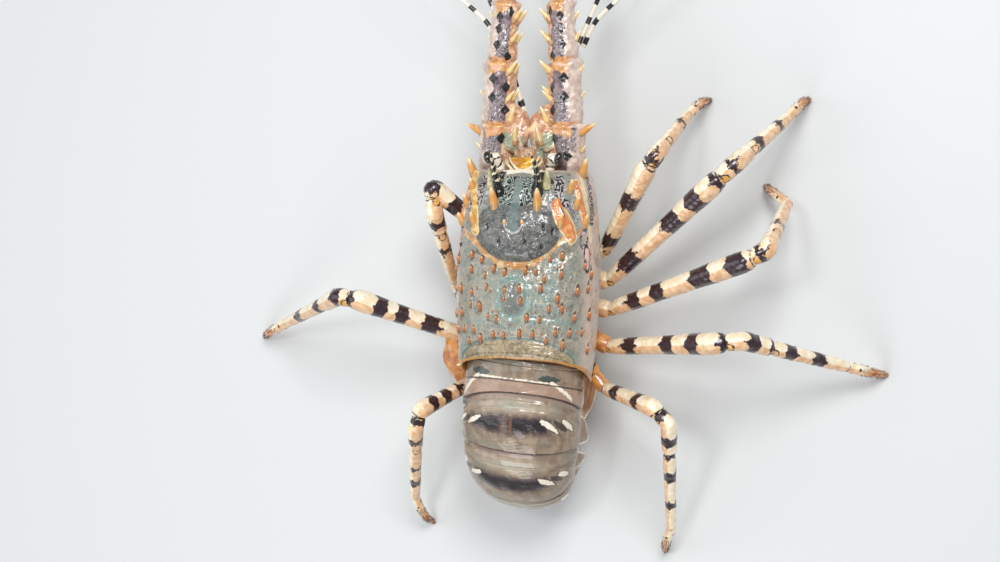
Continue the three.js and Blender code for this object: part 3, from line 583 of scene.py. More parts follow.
def carapace_paint():
    paint = Paint("wet_carapace")
    large = paint.noise(24, detail=3, warp=0.5)
    mid = paint.noise(6, detail=4, warp=0.4)
    fine = paint.noise(1.8)
    clouds = paint.noise(4)
    outer = paint.mark("outer")
    pink = paint.step(paint.mark("flank"), -9, 9)
    tone = paint.blend("8f8b7e", "858f87", large, 0.4, 0.6)
    for over, value, start, end, share in (
        ("aea08a", mid, 0.5, 0.7, 0.8),
        ("6a6c62", mid, 0.46, 0.32, 0.6),
        ("57564e", fine, 0.46, 0.34, 0.5),
    ):
        tone = paint.blend(tone, over, value, start, end, share)
    tone = paint.mix(tone, "cdb2a3", paint.calc("MULTIPLY", pink, 0.85))
    band = paint.blend("b9813f", "d3b68a", paint.noise(5), 0.44, 0.62)
    band = paint.mix(band, "cfa489", pink)
    domed = paint.blend("474746", "6a6863", paint.noise(4, 4), 0.4, 0.6)
    domed = paint.blend(domed, "a3a29c", paint.noise(1.5), 0.56, 0.68, 0.7)
    domed = paint.blend(domed, "5a6f73", large, 0.42, 0.7, 0.4)
    ground = paint.blend("a3b0a6", "b5aaa9", outer, -4, 4)
    mazed = paint.mix(ground, "0b0909", paint.maze(7.5, 7.5, -0.5, 0.0))
    grey = paint.mix("aeada6", "55585a", paint.maze(5, 7, 0.0, 0.5))
    blot = paint.blend("0d0b0a", "c9c3ae", paint.noise(2.2, 2), 0.58, 0.66)
    flame = paint.blend("cc743a", "dfa062", clouds, 0.42, 0.62)
    yolk = paint.blend("c99a4c", "e0bd78", clouds, 0.42, 0.62)
    rim = paint.blend("7d6f55", "a39271", paint.noise(3.5), 0.36, 0.6)
    dotted = paint.calc("MULTIPLY", paint.step(paint.noise(1.2, 1), 0.44, 0.54), 0.8)
    front = paint.blend("ece4d2", "b29a8a", outer, -5, -3)
    for over, name, soft, wobble, share, size in (
        # The faint teal on the lines and on the rim of the heart is a painted highlight; the lines are also
        # raised in the relief.
        ("63958e", "lines", 1.4, 1.1, 0.3, 2.5),
        ("5d625f", "heart", 2.2, 0.8, 0.75, 2.5),
        ("669e96", "heart_line", 1.2, 0.9, 0.4, 2.5),
        (band, "groove", 0.8, 0.9, 0.95, 5),
        (domed, "dome", 0.5, 0.4, 1, 5),
        ("68807f", "column", 1.2, 0.7, 0.6, 2.5),
        ("e3cfa4", "cream", 0.5, 0.5, 0.9, 2.5),
        (mazed, "maze", 0.4, 0.7, 1, 2.5),
        (grey, "strip", 0.6, 0.5, 0.9, 2.5),
        (blot, "blotch", 0.4, 0.8, 1, 2.5),
        (flame, "orange", 0.4, 0.5, 1, 2.5),
        (yolk, "yolk", 0.4, 0.5, 1, 2.5),
        ("5a1f18", "streak", 0.3, 0.2, 1, 2.5),
        ("f3e4dc", "pale_streak", 0.3, 0.2, 1, 2.5),
        ("d9b3ab", "oval", 0.4, 0.3, 1, 2.5),
        ("241a1c", "outline", 0.3, 0.3, 1, 2.5),
        ("4d6f68", "rim_line", 0.6, 0.3, 0.8, 2.5),
        (rim, "rim", 0.3, 0.2, 1, 2.5),
        ("4a3620", "rim_dots", 0.2, 0.1, dotted, 2.5),
        ("b8813a", "rim_edge", 0.3, 0.2, 1, 2.5),
        (front, "front", 0.4, 0.5, 1, 2.5),
        ("c9c6bd", "smile", 0.5, 0.3, 0.65, 2.5),
    ):
        tone = paint.patch(tone, over, name, soft, wobble, share, size)
    near = paint.mark("near")
    tone = paint.blend(tone, "b9a78d", near, 3.0, 1.8, 0.4)
    tone = paint.blend(tone, "4c2c1c", near, 1.75, 1.35, 0.85)
    tone = paint.patch(tone, "0e0a0a", "pits", 0.3, 0.3)
    tone = paint.blend(tone, "33302d", paint.cells(3.4), 0.18, 0.1, 0.55)
    tone = paint.blend(tone, "d9bf97", paint.mark("below"), -4, 4)
    return paint.finish(tone, paint.sum_of(mid, 0.3, 0.16), paint.grain(), 0.6, 0.8, 0.05, 0.03)


def abdomen_paint():
    paint = Paint("wet_abdomen")
    mid = paint.noise(7, detail=4, warp=0.3)
    # Painted highlight: paler greige, with a green-grey core, across each ring's front near the midline, so
    # the rings read as bulging.
    glow = paint.mark("glow")
    band = paint.uneven("band", 3, 4, 5)
    tone = paint.blend("7d6a59", "9c8770", mid, 0.38, 0.64)
    for over, value, start, end, share in (
        ("7a776a", paint.noise(14), 0.48, 0.66, 0.7),
        ("b9a893", glow, -3, 7, 0.55),
        ("8fa598", glow, 3, 9, 0.35),
        ("9a7f74", paint.mark("front"), -2, 2, 0.7),
        ("b08d79", paint.mark("pink"), -1, 1, 0.6),
        ("35222b", band, -4.6, 2.6, 0.97),
        ("11070d", band, 0.2, 4.2, 0.95),
    ):
        tone = paint.blend(tone, over, value, start, end, share)
    for over, name, soft, wobble, share in (
        ("2b3a33", "green", 0.6, 0.8, 0.9),
        ("2c2420", "shade", 0.7, 0.7, 0.85),
        ("e9dfcd", "white", 0.3, 0.7, 1),
        ("8f5c2c", "tick", 0.4, 0.3, 0.8),
        # The ring's near-black rear edge is painted crease shade where it tucks over the next ring; on ring 1
        # this mark also holds a real dark line behind the white band.
        ("1d1613", "seam", 0.3, 0.2, 0.9),
    ):
        tone = paint.patch(tone, over, name, soft, wobble, share)
    tone = paint.blend(tone, "cdb08a", paint.mark("below"), -2, 2)
    tone = paint.blend(tone, "42372e", paint.cells(2.2), 0.22, 0.1, 0.45)
    relief = paint.sum_of(paint.noise(1.3), 0.25, paint.noise(6, 2))
    return paint.finish(tone, paint.sum_of(mid, 0.3, 0.16), relief, 0.5, 0.8, 0.05, 0.03)


def leg_paint():
    paint = Paint("wet_leg")
    mid = paint.noise(5)
    upper = paint.blend("efd9b4", "f7ecd6", mid, 0.4, 0.62)
    lower = paint.blend("dba97c", "e9c49c", mid, 0.4, 0.62)
    tone = paint.blend(lower, upper, paint.mark("upper"), -0.12, 0.12)
    amber = paint.blend("b5600f", "d98f2c", paint.noise(7), 0.42, 0.6)
    tone = paint.blend(tone, amber, paint.mark("amber"), -3, 3, 0.92)
    tone = paint.patch(tone, "dba23e", "joint", 0.5, 0.5, 0.9)
    plum = paint.blend("230e18", "43202c", paint.noise(1.8), 0.45, 0.7)
    tone = paint.patch(tone, plum, "band", 0.3, 0.8, size=2.2)
    tone = paint.patch(tone, "120b09", "line", 0.3, 0.6)
    tone = paint.blend(tone, "cf7a22", paint.mark("toe"), -6, 3, 0.9)
    relief = paint.sum_of(paint.noise(1.2, 2), 0.3, paint.noise(5, 2))
    return paint.finish(tone, paint.sum_of(mid, 0.25, 0.18), relief, 0.4, 0.7, 0.07, 0.05)


def antenna_paint():
    paint = Paint("wet_antenna")
    mid = paint.noise(6, warp=0.3)
    streaks = paint.noise(2.2, detail=2, place=paint.stretched((1.0, 0.25, 1.0)))
    tone = paint.blend("635257", "8c777b", mid, 0.4, 0.62)
    tone = paint.blend(tone, "4b3d42", streaks, 0.55, 0.7, 0.5)
    cream = paint.blend("bfa79c", "ddcabb", mid, 0.4, 0.65)
    mazed = paint.mix("9d9092", "3a2f33", paint.maze(5, 7, 0, 0.5))
    peach = paint.blend("b8805c", "d9b091", paint.noise(4, 4), 0.42, 0.6)
    peach = paint.blend(peach, "ead3ab", paint.noise(7), 0.54, 0.66, 0.85)
    joint = paint.blend("c48654", "d8ab8e", mid, 0.42, 0.62)
    joint = paint.blend(joint, "d8a548", paint.noise(3.5), 0.52, 0.64, 0.85)
    for over, name, soft, wobble, share, size in (
        (cream, "outer", 0.8, 0.9, 1, 5),
        (mazed, "maze", 1.2, 1.4, 0.85, 2.5),
        (peach, "inner", 0.8, 1.2, 1, 4),
        (joint, "joint", 0.8, 1.4, 1, 4),
        ("86a088", "green", 1.6, 1.6, 0.75, 2.5),
        ("0e0a0a", "spot", 0.3, 0.7, 1, 2),
    ):
        tone = paint.patch(tone, over, name, soft, wobble, share, size)
    tone = paint.blend(tone, "d0a27c", paint.mark("below"), -3, 3)
    relief = paint.sum_of(paint.noise(1.1, 2), 0.35, paint.noise(5, 2))
    return paint.finish(tone, paint.sum_of(mid, 0.25, 0.2), relief, 0.5, 0.7, 0.06, 0.04)


def spine_paint(name, root, body, tip, olive=None):
    """A spine's colours from its root to its tip. The mark reach runs from 0 to 1 along it."""
    paint = Paint(name)
    reach = paint.uneven("reach", 1.6, 3, 0.3)
    tone = paint.blend(root, body, reach, 0.05, 0.2)
    tone = paint.blend(tone, tip, reach, 0.55, 0.95)
    if olive:
        soft = paint.blend(olive, "cfc79e", paint.noise(4), 0.4, 0.65)
        tone = paint.mix(tone, soft, paint.mark("olive"))
    return paint.finish(tone, 0.26, paint.noise(1.0, 2), 0.1, 0.8, 0.05, 0.06)


def horn_paint():
    paint = Paint("banded_horn")
    tone = paint.blend("e0d0a8", "dba748", paint.mark("reach"), 0.72, 0.95)
    tone = paint.blend(tone, "e9dfc4", paint.noise(3), 0.45, 0.6, 0.7)
    tone = paint.patch(tone, "0d0a09", "band", 0.3, 1.3, size=2.4)
    return paint.finish(tone, 0.25, paint.noise(1.4, 2), 0.15, 0.8, 0.05, 0.04)


def banded_paint(name, pale, dark):
    paint = Paint(name)
    tone = paint.patch(pale, dark, "band", 0.3, 0.5)
    return paint.finish(tone, 0.3, paint.noise(1.0, 2), 0.15, 0.5, 0.1, 0.05)


def whip_paint():
    paint = Paint("whip_shell")
    tone = paint.blend("5b3c33", "8a5b48", paint.noise(18), 0.4, 0.65)
    tone = paint.patch(tone, "c79a78", "band", 1.5, 1.5, 0.8, 6)
    tone = paint.blend(tone, "332019", paint.mark("crease"), 0.4, 0.9, 0.7)
    return paint.finish(tone, 0.38, paint.noise(1.0, 2), 0.1, 0.4, 0.15)


def plain_paint(name, low, high, size=6, rough=0.4, depth=0.3, coat=0.4, clear=0.08):
    """Two mottled colours, for skin and for the pale underside."""
    paint = Paint(name)
    tone = paint.blend(low, high, paint.noise(size, 4, 0.4), 0.4, 0.64)
    relief = paint.sum_of(paint.noise(1.2, 2), 0.4, paint.noise(size, 2))
    return paint.finish(tone, rough, relief, depth, coat, 0.1, clear)


def face_paint():
    paint = Paint("face_shell")
    tone = paint.blend("ac8468", "d9b69c", paint.noise(3.6, detail=4, warp=0.6), 0.4, 0.6)
    tone = paint.blend(tone, "d8a868", paint.noise(2.6), 0.52, 0.66, 0.7)
    tone = paint.mix(tone, "56504a", paint.calc("MULTIPLY", paint.maze(3.4, 2.4, 0.55, 0.85), 0.5))
    tone = paint.patch(tone, "86a088", "green", 1.6, 1.6, 0.8)
    return paint.finish(tone, 0.24, paint.grain(), 0.6, 0.9, 0.04, 0.06)


def tail_fan_paint():
    paint = Paint("tail_blade")
    tone = paint.blend("d3a17e", "e6c0a2", paint.noise(9), 0.4, 0.65)
    tone = paint.blend(tone, "7c5a5a", paint.mark("far"), 8, 30, 0.6)
    tone = paint.blend(tone, "b5682e", paint.mark("rib"), 0.45, 0.95, 0.55)
    tone = paint.patch(tone, "efe2cc", "edge", 0.5, 0.4)
    tone = paint.patch(tone, "c98f3f", "base", 1.2, 1.4, 0.8, 5)
    return paint.finish(tone, 0.34, paint.noise(2.5), 0.4, 0.5, 0.1, 0.06)


def dark_paint(name, tone, rough, coat):
    paint = Paint(name)
    mottled = paint.blend(tone, "2a211c", paint.noise(2), 0.4, 0.7)
    return paint.finish(mottled, rough, paint.cells(0.35), 0.01, coat, 0.02)


def catmull(points, count):
    """A smooth line through points, resampled to equal steps along its length."""
    points = np.asarray(points, float)
    ends = [2 * points[0] - points[1], 2 * points[-1] - points[-2]]
    p = np.concatenate([ends[:1], points, ends[1:]])
    line = []
    for i in range(1, len(p) - 2):
        knots = [0.0]
        for j in range(3):
            knots.append(knots[-1] + math.sqrt(np.linalg.norm(p[i + j] - p[i + j - 1])))
        t = np.linspace(knots[1], knots[2], 60, endpoint=i == len(p) - 3)[:, None]

        def blend(a, b, low, high):
            return (a * (high - t) + b * (t - low)) / (high - low)

        a = [blend(p[i + j - 1], p[i + j], knots[j], knots[j + 1]) for j in range(3)]
        b = [blend(a[j], a[j + 1], knots[j], knots[j + 2]) for j in range(2)]
        line.append(blend(b[0], b[1], knots[1], knots[2]))
    line = np.concatenate(line)
    lengths = np.concatenate([[0], np.cumsum(np.linalg.norm(np.diff(line, axis=0), axis=1))])
    wanted = np.linspace(0, lengths[-1], count)
    return np.stack([np.interp(wanted, lengths, line[:, i]) for i in range(3)], -1), lengths[-1]


def softened(points, step=0.8, reach=5):
    """A line along straight lengths, with its bends rounded, and its length."""
    points = np.asarray(points, float)
    lengths = np.concatenate([[0], np.cumsum(np.linalg.norm(np.diff(points, axis=0), axis=1))])
    count = max(12, int(lengths[-1] / step))
    wanted = np.linspace(0, lengths[-1], count)
    line = np.stack([np.interp(wanted, lengths, points[:, i]) for i in range(3)], -1)
    steps = np.arange(1, reach + 1)[:, None]
    before = line[0] - (line[1] - line[0]) * steps[::-1]
    after = line[-1] + (line[-1] - line[-2]) * steps
    long = np.concatenate([before, line, after])
    weights = np.hanning(2 * reach + 3)[1:-1]
    weights = weights / weights.sum()
    smoothed = np.stack([np.convolve(long[:, i], weights, mode="valid") for i in range(3)], -1)
    return smoothed, lengths[-1]


def frames(path, up):
    """Directions along, across and up at each point of a path."""
    along = unit(np.gradient(path, axis=0))
    across = unit(np.cross(along, np.asarray(up, float)))
    return along, across, np.cross(across, along)


def rings(path, wide, high, sides, up=(0, 0, 1)):
    """Rings round a path, and the turn of each column. wide and high are radii along the path."""
    along, across, lift = frames(path, up)
    turn = round_turns(sides)
    wide = np.broadcast_to(wide, len(path))[:, None, None]
    high = np.broadcast_to(high, len(path))[:, None, None]
    c = np.cos(turn)[None, :, None]
    s = np.sin(turn)[None, :, None]
    grid = path[:, None] + across[:, None] * wide * c + lift[:, None] * high * s
    return grid, np.broadcast_to(turn, grid.shape[:2])


def cone(piece, foot, way, length, radius, sink, curl=0.0, sides=10, rows=8, blunt=0.0, **marks):
    """A pointed spine with a full, curved outline, its root sunk into the skin."""
    way = unit(way)
    t = np.linspace(0, 1, rows)
    bow = unit(np.cross(np.cross(way, [0, 0, 1.0]), way)) if abs(way[2]) < 0.95 else np.array([0, 1.0, 0])
    path = foot + way * (-sink + t[:, None] * (length + sink)) + bow * (curl * (t ** 2))[:, None]
    width = radius * (1 - t ** (1.7 + blunt)) ** (0.85 - 0.25 * blunt) + 0.06
    helper = (0, 1, 0) if abs(way[2]) > 0.9 else (0, 0, 1)
    grid, _ = rings(path, width, width, sides, helper)
    reach = np.clip((t * (length + sink) - sink) / length, 0, 1)
    piece.add(grid, reach=np.broadcast_to(reach[:, None], grid.shape[:2]), **marks)


def spike(piece, side, foot, tip, radius, sink=3, sides=16, rows=14, **marks):
    """A spine from its foot to its tip, on the side given."""
    foot = mirrored(foot, side)
    way = mirrored(tip, side) - foot
    cone(piece, foot, way, np.linalg.norm(way), radius, sink, 1, sides, rows, **marks)


def carapace_point(row, turn):
    """A point of the carapace. row is its place along the midline, turn its angle from the midline."""
    share = np.minimum(np.abs(turn) / (math.pi / 2), 1.15)
    rear = RIM_SWEEP * share ** 2 * np.maximum(0, 1 - (row - CARAPACE_REAR) / 45) ** 1.5
    y = row - rear + GROOVE_SWEEP * share ** 1.5 * smooth(GROOVE_SHIFT, row)
    band = np.maximum(0, 1 - np.abs(row - CARAPACE_REAR - RIM_WIDTH / 2) / (RIM_WIDTH / 2)) ** 0.4
    side = np.maximum(0, np.cos(turn))
    lean = np.minimum(1, side * 3)
    proud = RIM_HEIGHT * band * lean - GROOVE_DEPTH * bump(row, GROOVE_Y, GROOVE_WIDTH) * lean
    power = 2 / CARAPACE_SQUARENESS
    across = np.sign(turn) * np.abs(np.sin(turn)) ** power
    height = np.sign(np.cos(turn)) * np.abs(np.cos(turn)) ** power
    lift = smooth(TOP_Z, y) - CARAPACE_CENTRE_Z
    z = CARAPACE_CENTRE_Z + height * np.where(height > 0, lift + proud, CARAPACE_DEPTH)
    return np.stack([across * (smooth(HALF_WIDTH, y) + proud * side), y, z], -1)


def carapace_skin(row, turn):
    """The foot and outward direction of a spine on the carapace."""
    foot = carapace_point(row, turn)
    along = carapace_point(row + 1, turn) - carapace_point(row - 1, turn)
    around = carapace_point(row, turn + 0.02) - carapace_point(row, turn - 0.02)
    out = unit(np.cross(around, along))
    if out @ (foot - [0, foot[1], CARAPACE_CENTRE_Z]) < 0:
        out = -out
    return foot, out


def oval(row, across, middle_row, middle_across, half_row, half_across):
    """The distance inside an oval patch on the carapace."""
    out = np.hypot((row - middle_row) / half_row, (across - middle_across) / half_across)
    return (1 - out) * min(half_row, half_across)


def stripe(row, across, start, end, half):
    """The distance inside a band round a straight line on the carapace."""
    start = np.array(start, float)
    way = np.array(end, float) - start
    t = ((row - start[0]) * way[0] + (across - start[1]) * way[1]) / (way @ way)
    t = np.clip(t, 0, 1)
    return half - np.hypot(row - start[0] - way[0] * t, across - start[1] - way[1] * t)


def small_spine_places():
    """Each small spine of the carapace as [place along it, turn in degrees, size]."""
    rng = np.random.default_rng(SEED)
    places = []
    for _, side in SIDES:
        for row, turns in SMALL_SPINES:
            for turn in turns:
                place = row + rng.uniform(-1.4, 1.4)
                degrees = side * (turn + rng.uniform(-1.6, 1.6))
                places.append([place, degrees, 1 + rng.uniform(-0.18, 0.18)])
        for _ in range(18):
            places.append([rng.uniform(7, 56), side * rng.uniform(5, 82), rng.uniform(0.28, 0.45)])
    return places


def carapace_marks(row, turn):
    """The markings of the carapace, by the place along it and the turn from its midline."""
    across = turn / DEGREE * ACROSS_PER_DEGREE
    side = np.abs(across)
    right = across > 0
    lift = rise(side, 8, 40)
    reach = np.where(row > 82, 23, 20.5)
    out = (np.abs(row - 82) / reach) ** 2.5 + (np.abs(across - 1.5) / 34) ** 2.5
    dome = (1 - out ** 0.4) * 21
    column = np.minimum(2.3 - side + np.maximum(0, 100 - row) * 0.05, np.minimum(row - 84, 124 - row))
    centre_maze = np.minimum(np.minimum(13 - side - (row - 103) * 0.1, row - 102.5), 125 - row)
    side_maze = union(
        stripe(row, side, [121, 35], [106, 32], 5.5),
        stripe(row, side, [107, 27], [101, 43], 3.6),
        stripe(row, side, [101, 44], [88, 51], 2.4),
        stripe(row, side, [120, 77], [72, 78], 5),
    )
    cheek = oval(row, side, 63.5, 62, 7.5, 7)
    right_blade = stripe(row, across, [103, 32], [70, 47], 4.2) + 1.8 * bump(row, 86, 9)
    left_blade = union(
        stripe(row, across, [127, -56], [104, -41], 4.4),
        stripe(row, across, [104, -41], [80, -34], 4.2),
    )
    blade = np.where(right, right_blade, left_blade)
    ridge = stripe(row, side, [118, 54], [85, 62.5], 3.2)
    borders = union(1.1 - np.abs(blade + 0.2), 0.9 - np.abs(ridge + 0.3))
    strip = union(
        stripe(row, side, [118, 26.5], [101, 27], 3.4),
        stripe(row, side, [122, 46], [80, 54.5], 2.8),
    )
    rim = 4.6 - 8.9 * (side / 48) ** 2 - row - np.maximum(0, side - 52) * 0.4
    pink = oval(row, side, 50.5, 63, 6.5, 4)
    heart = oval(row, across, 35, 0, 13, 9)
    smile = 0.55 - np.abs(np.hypot((row - 91.5) / 1.3, across * 1.05) - 6.6)
    veins = union(
        1.3 - np.abs(row - 21 + 9 * bump(side, 0, 8) + 0.1 * side),
        1.2 - np.abs(np.hypot((row - 35) / 1.35, across) - 12),
        stripe(row, side, [47, 12], [24, 30], 1.2),
        stripe(row, side, [22, 16], [8, 40], 1.2),
    )
    near = np.full(row.shape, 9.0)
    for place, degrees, size in small_spine_places():
        foot = degrees * ACROSS_PER_DEGREE
        distance = np.hypot((row - place - 2.4 * size) / 1.7, across - foot)
        near = np.minimum(near, distance / max(size, 0.45))
    return {
        "dome": dome,
        "maze": union(np.minimum(centre_maze, -column), side_maze, np.minimum(cheek, 3.2 - cheek)),
        "blotch": union(stripe(row, side, [113, 15], [127, 17], 3.4), oval(row, side, 120, 26.5, 3, 2.5)),
        "strip": strip,
        "orange": union(blade, ridge),
        "yolk": np.where(right, BARE, blade),
        "cream": union(borders, stripe(row, side, [127, 62], [60, 72], 3)),
        "streak": np.where(right, stripe(row, side, [98, 35.5], [91.5, 39], 1.1), BARE),
        "pale_streak": np.where(right, stripe(row, side, [98.5, 34.5], [92, 38], 0.8), BARE),
        "oval": pink,
        "outline": 0.6 - np.abs(pink + 0.2),
        "heart": heart,
        # The teal given to these two marks is a painted highlight.
        "heart_line": 1.0 - np.abs(heart + 0.4),
        "lines": np.where(side < 46, veins, -3),
        "pits": np.max([oval(row, across, r, a, 2.8, 1.3) for r, a in DOME_PITS], axis=0),
        "column": column,
        "smile": np.minimum(smile, 91 - row),
        "groove": 3.0 - np.abs(row - 59.5 - 12 * lift),
        "flank": side - 60 + 0.08 * (row - 40),
        "rim": rim,
        "rim_line": 0.8 - np.abs(rim + 1.6),
        "rim_dots": 0.5 - np.abs(row + 4.6 + 0.0012 * side ** 2),
        "rim_edge": -7.6 - row + 0.02 * np.maximum(0, side - 35),
        "front": np.where(side < 12, row - 127.6 + 0.012 * side ** 2, row - 128.6),
        "outer": side - 21,
        "below": side - 96,
        "near": near,
    }


def scaled_rings(ring, steps):
    """Copies of a carapace's end ring, drawn in and moved along by each [scale, step]."""
    return np.array([
        ring * [scale, 1, scale] + [0, step, CARAPACE_CENTRE_Z * (1 - scale)] for scale, step in steps
    ])


def carapace(shell):
    """The carapace's shell, with its rims, grooves, dome, ridges and pits in its surface."""
    piece = Piece("carapace_shell", "carapace", shell, ["carapace"], HEAD_YAW)
    rows = np.concatenate([np.linspace(-9, 2, 34), np.linspace(2.5, 130, 250)])
    turns = np.linspace(-MARGIN_TURN, MARGIN_TURN, 300)
    row, turn = np.meshgrid(rows, turns, indexing="ij")
    grid = carapace_point(row, turn)
    marks = carapace_marks(row, turn)
    out = normals_of(grid)
    if out[150, 150, 2] < 0:
        out = -out
    relief = (
        -0.9 * bump(marks["rim"], -1, 1.1)
        + 0.4 * ripple(grid, 13, 1)
        + 0.16 * ripple(grid, 4.2, 2)
        + 0.08 * ripple(grid, 1.9, 3)
    )
    for name, height, low, high in CARAPACE_RELIEF:
        relief = relief + height * rise(marks[name], low, high)
    relief = relief * rise(100 - np.abs(turn / DEGREE * ACROSS_PER_DEGREE), 0, 12)
    grid = grid + out * relief[..., None]
    whole = np.concatenate([
        scaled_rings(grid[0], REAR_EDGE),
        grid,
        scaled_rings(grid[-1], FRONT_EDGE),
    ])
    low = np.linspace(0.985, -0.985, FLOOR_COLUMNS)[None, :, None] * whole[:, -1:, :]
    low[..., 1:] = whole[:, -1:, 1:]
    edges = ((len(REAR_EDGE), len(FRONT_EDGE)), (0, FLOOR_COLUMNS))
    piece.add(
        np.concatenate([whole, low], axis=1),
        **{name: np.pad(values, edges, mode="edge") for name, values in marks.items()},
    )
    piece.done()


def carapace_spines(small_paint, large_paint):
    """The carapace's spines: small orange ones in rows and large ones on its front."""
    small = Piece("carapace_small_spines", "carapace", small_paint, yaw=HEAD_YAW)
    large = Piece("carapace_large_spines", "carapace", large_paint, yaw=HEAD_YAW)
    forwards = np.array([0, 1.0, 0])
    for _, side in SIDES:
        for row, turn, length, radius in LARGE_SPINES:
            foot, out = carapace_skin(row, side * turn * DEGREE)
            cone(large, foot, 0.8 * out + 1.6 * forwards, length, radius, radius, 1.2, 18, 20, 0.7)
        foot, out = carapace_skin(OLIVE_SPINE[0], side * OLIVE_SPINE[1] * DEGREE)
        cone(small, foot, 0.3 * out + forwards, 15, 3.4, 1, 1.0, 18, 16, olive=1)
    for place, degrees, size in small_spine_places():
        foot, out = carapace_skin(place, degrees * DEGREE)
        length = SMALL_SPINE_LENGTH * size
        radius = SMALL_SPINE_RADIUS * size
        cone(small, foot, 0.75 * out + 2.1 * forwards, length, radius, 1.6 * size, 0.5 * size, 14, 14, 1.0)
    small.done()
    large.done()


def horns(paint):
    for name, side in SIDES:
        piece = Piece("horn_" + name, "carapace", paint, yaw=HEAD_YAW)
        foot = np.array([HORN_FOOT[0] * side, HORN_FOOT[1], smooth(TOP_Z, HORN_FOOT[1]) - 4])
        tip = mirrored(HORN_TIP, side)
        middle = (foot + tip) / 2 + [side * 1.5, 2, -1.5]
        path, length = catmull([foot, middle, tip], 60)
        t = np.linspace(0, 1, 60)
        wide = 3.5 * (1 - t) ** 0.7 + 1.4 * bump(t, 0, 0.12) + 0.2
        high = 4.4 * (1 - t) ** 0.7 + 1.6 * bump(t, 0, 0.12) + 0.2
        grid, turn = rings(path, wide, high, 32)
        grid = lifted(grid, 0.25 * ripple(grid, 4, 5))
        along = spread(t * length, grid)
        band = [half - np.abs(along - at - 0.9 * np.sin(turn + at)) for at, half in HORN_BANDS]
        piece.add(grid, reach=spread(t, grid), band=np.max(band, axis=0))
        piece.done()


def eyes(stalk_paint, cornea_paint):
    for name, side in SIDES:
        root = mirrored(EYE_ROOT, side)
        centre = mirrored(EYE_CENTRE, side) + [0, 0, 1.0]
        stalk = Piece("eye_stalk_" + name, "eyes", stalk_paint, yaw=HEAD_YAW)
        path, length = catmull([root, root + [side * 0.5, 3.0, 0.5], centre + [side * 2.5, 1, 0]], 40)
        t = np.linspace(0, 1, 40)
        width = (3.4 + 1.9 * rise(t, 0.2, 0.75)) * np.sqrt(np.clip((1 - t) / 0.25, 0.0, 1) * 0.97 + 0.03)
        grid, turn = rings(path, width, width * 0.92, 36)
        along = t[:, None] * length
        band = union(
            0.9 - np.abs(along - 4.5 - 2 * np.cos(turn + 0.5)),
            0.7 - np.abs(along - 9.5 + 1.6 * np.cos(turn * 2)),
            np.minimum(0.5 - np.abs(np.sin(turn * 1.5)) * 4, along - 5),
        )
        stalk.add(grid, band=band)
        stalk.done()
        cornea = Piece("eye_cornea_" + name, "eyes", cornea_paint, ["eye_" + name], HEAD_YAW)
        middle = centre + [side * 4.2, -1.6, 0.2]
        axis = unit([side * 0.85, -0.35, -0.1])
        polar = np.linspace(0, math.pi, 30)
        path = middle + axis * (-np.cos(polar)[:, None] * 3.2)
        radius = np.maximum(np.sin(polar), 0.02)
        grid, _ = rings(path, radius * 4.9, radius * 3.9, 36)
        cornea.add(grid)
        cornea.done()


def face(paint, membrane, border):
    """The plate between the antennae with its thorns, and the glossy crescent over it."""
    piece = Piece("antennular_plate_shell", "face", paint, ["antennular_plate"], HEAD_YAW)
    t = np.linspace(0, 1, 40)
    turn = np.linspace(0, 2 * math.pi, 72, endpoint=False)
    x, z = squared(turn, 0.55)
    y = PLATE_REAR + t * (PLATE_FRONT - PLATE_REAR)
    half = 12.8 - 2.0 * t ** 2
    low = 86 - 2 * rise(t, 0, 0.4)
    high = 110 - 2 * t - 7 * t ** 2
    close = (1 - rise(t, 0.9, 1.0) * 0.3)[:, None]
    grid = np.stack([
        half[:, None] * x * close,
        np.broadcast_to(y[:, None], (40, 72)),
        ((low + high) / 2)[:, None] + ((high - low) / 2)[:, None] * z * close,
    ], -1)
    grid = lifted(grid, 0.6 * ripple(grid, 6, 8) + 0.3 * ripple(grid, 3, 9))
    green = 4.5 - np.hypot(np.abs(grid[..., 0]) - 11.5, grid[..., 1] - 144)
    piece.add(grid, green=green + np.where(z > 0, 0, BARE))
    for _, side in SIDES:
        for foot, tip, radius in FACE_THORNS:
            spike(piece, side, foot, tip, radius, green=BARE)
    piece.done()
    crescent = Piece("front_crescent", "face", membrane, yaw=HEAD_YAW)
    t = np.linspace(-1, 1, 60)
    bend = t ** 2
    path = np.stack([CRESCENT_HALF_WIDTH * t, 134.6 + 4.4 * bend, 112.5 - 1.5 * bend], -1)
    wide = 4.7 * (1 - bend) ** 0.8 + 0.15
    grid, _ = rings(path, wide, 3.6 * (1 - bend) ** 0.6 + 0.1, 28)
    crescent.add(grid)
    crescent.done()
    lip = Piece("front_crescent_border", "face", border, yaw=HEAD_YAW)
    for offset, radius, height in ((0.4, 1.5, 0), (3.0, 1.6, 0.8)):
        x = (CRESCENT_HALF_WIDTH + offset) * t
        path = np.stack([x, 129.7 - offset + 10.5 * bend, 114.8 + height - 2.5 * bend], -1)
        thick = radius * (1 - 0.75 * bend)
        grid, _ = rings(path, thick, thick, 16)
        lip.add(lifted(grid, 0.2 * ripple(grid, 3, 12)))
    lip.done()


def leg_fields(along, turn, bands, start, end):
    """The distance outside a leg's pale ovals: two rows of them above and two below, in each gap."""
    row = np.abs(((turn / (math.pi / 2)) % 1) - 0.5)
    bands = [[at, max(1.2, half * BAND_SHARE)] for at, half in bands]
    edges = [start - 12] + [edge for at, half in bands for edge in (at - half, at + half)] + [end + 12]
    field = np.full(along.shape, 99.0)
    for low, high in zip(edges[::2], edges[1::2]):
        middle = (low + high) / 2
        half = max((high - low) / 2, 1.2)
        power = 2.2 if half < 9 else 3.0
        out = (np.abs(along - middle) / half) ** power + (row / 0.58) ** power
        field = np.minimum(field, (out ** (1 / power) - 1) * min(half, 6))
    return field


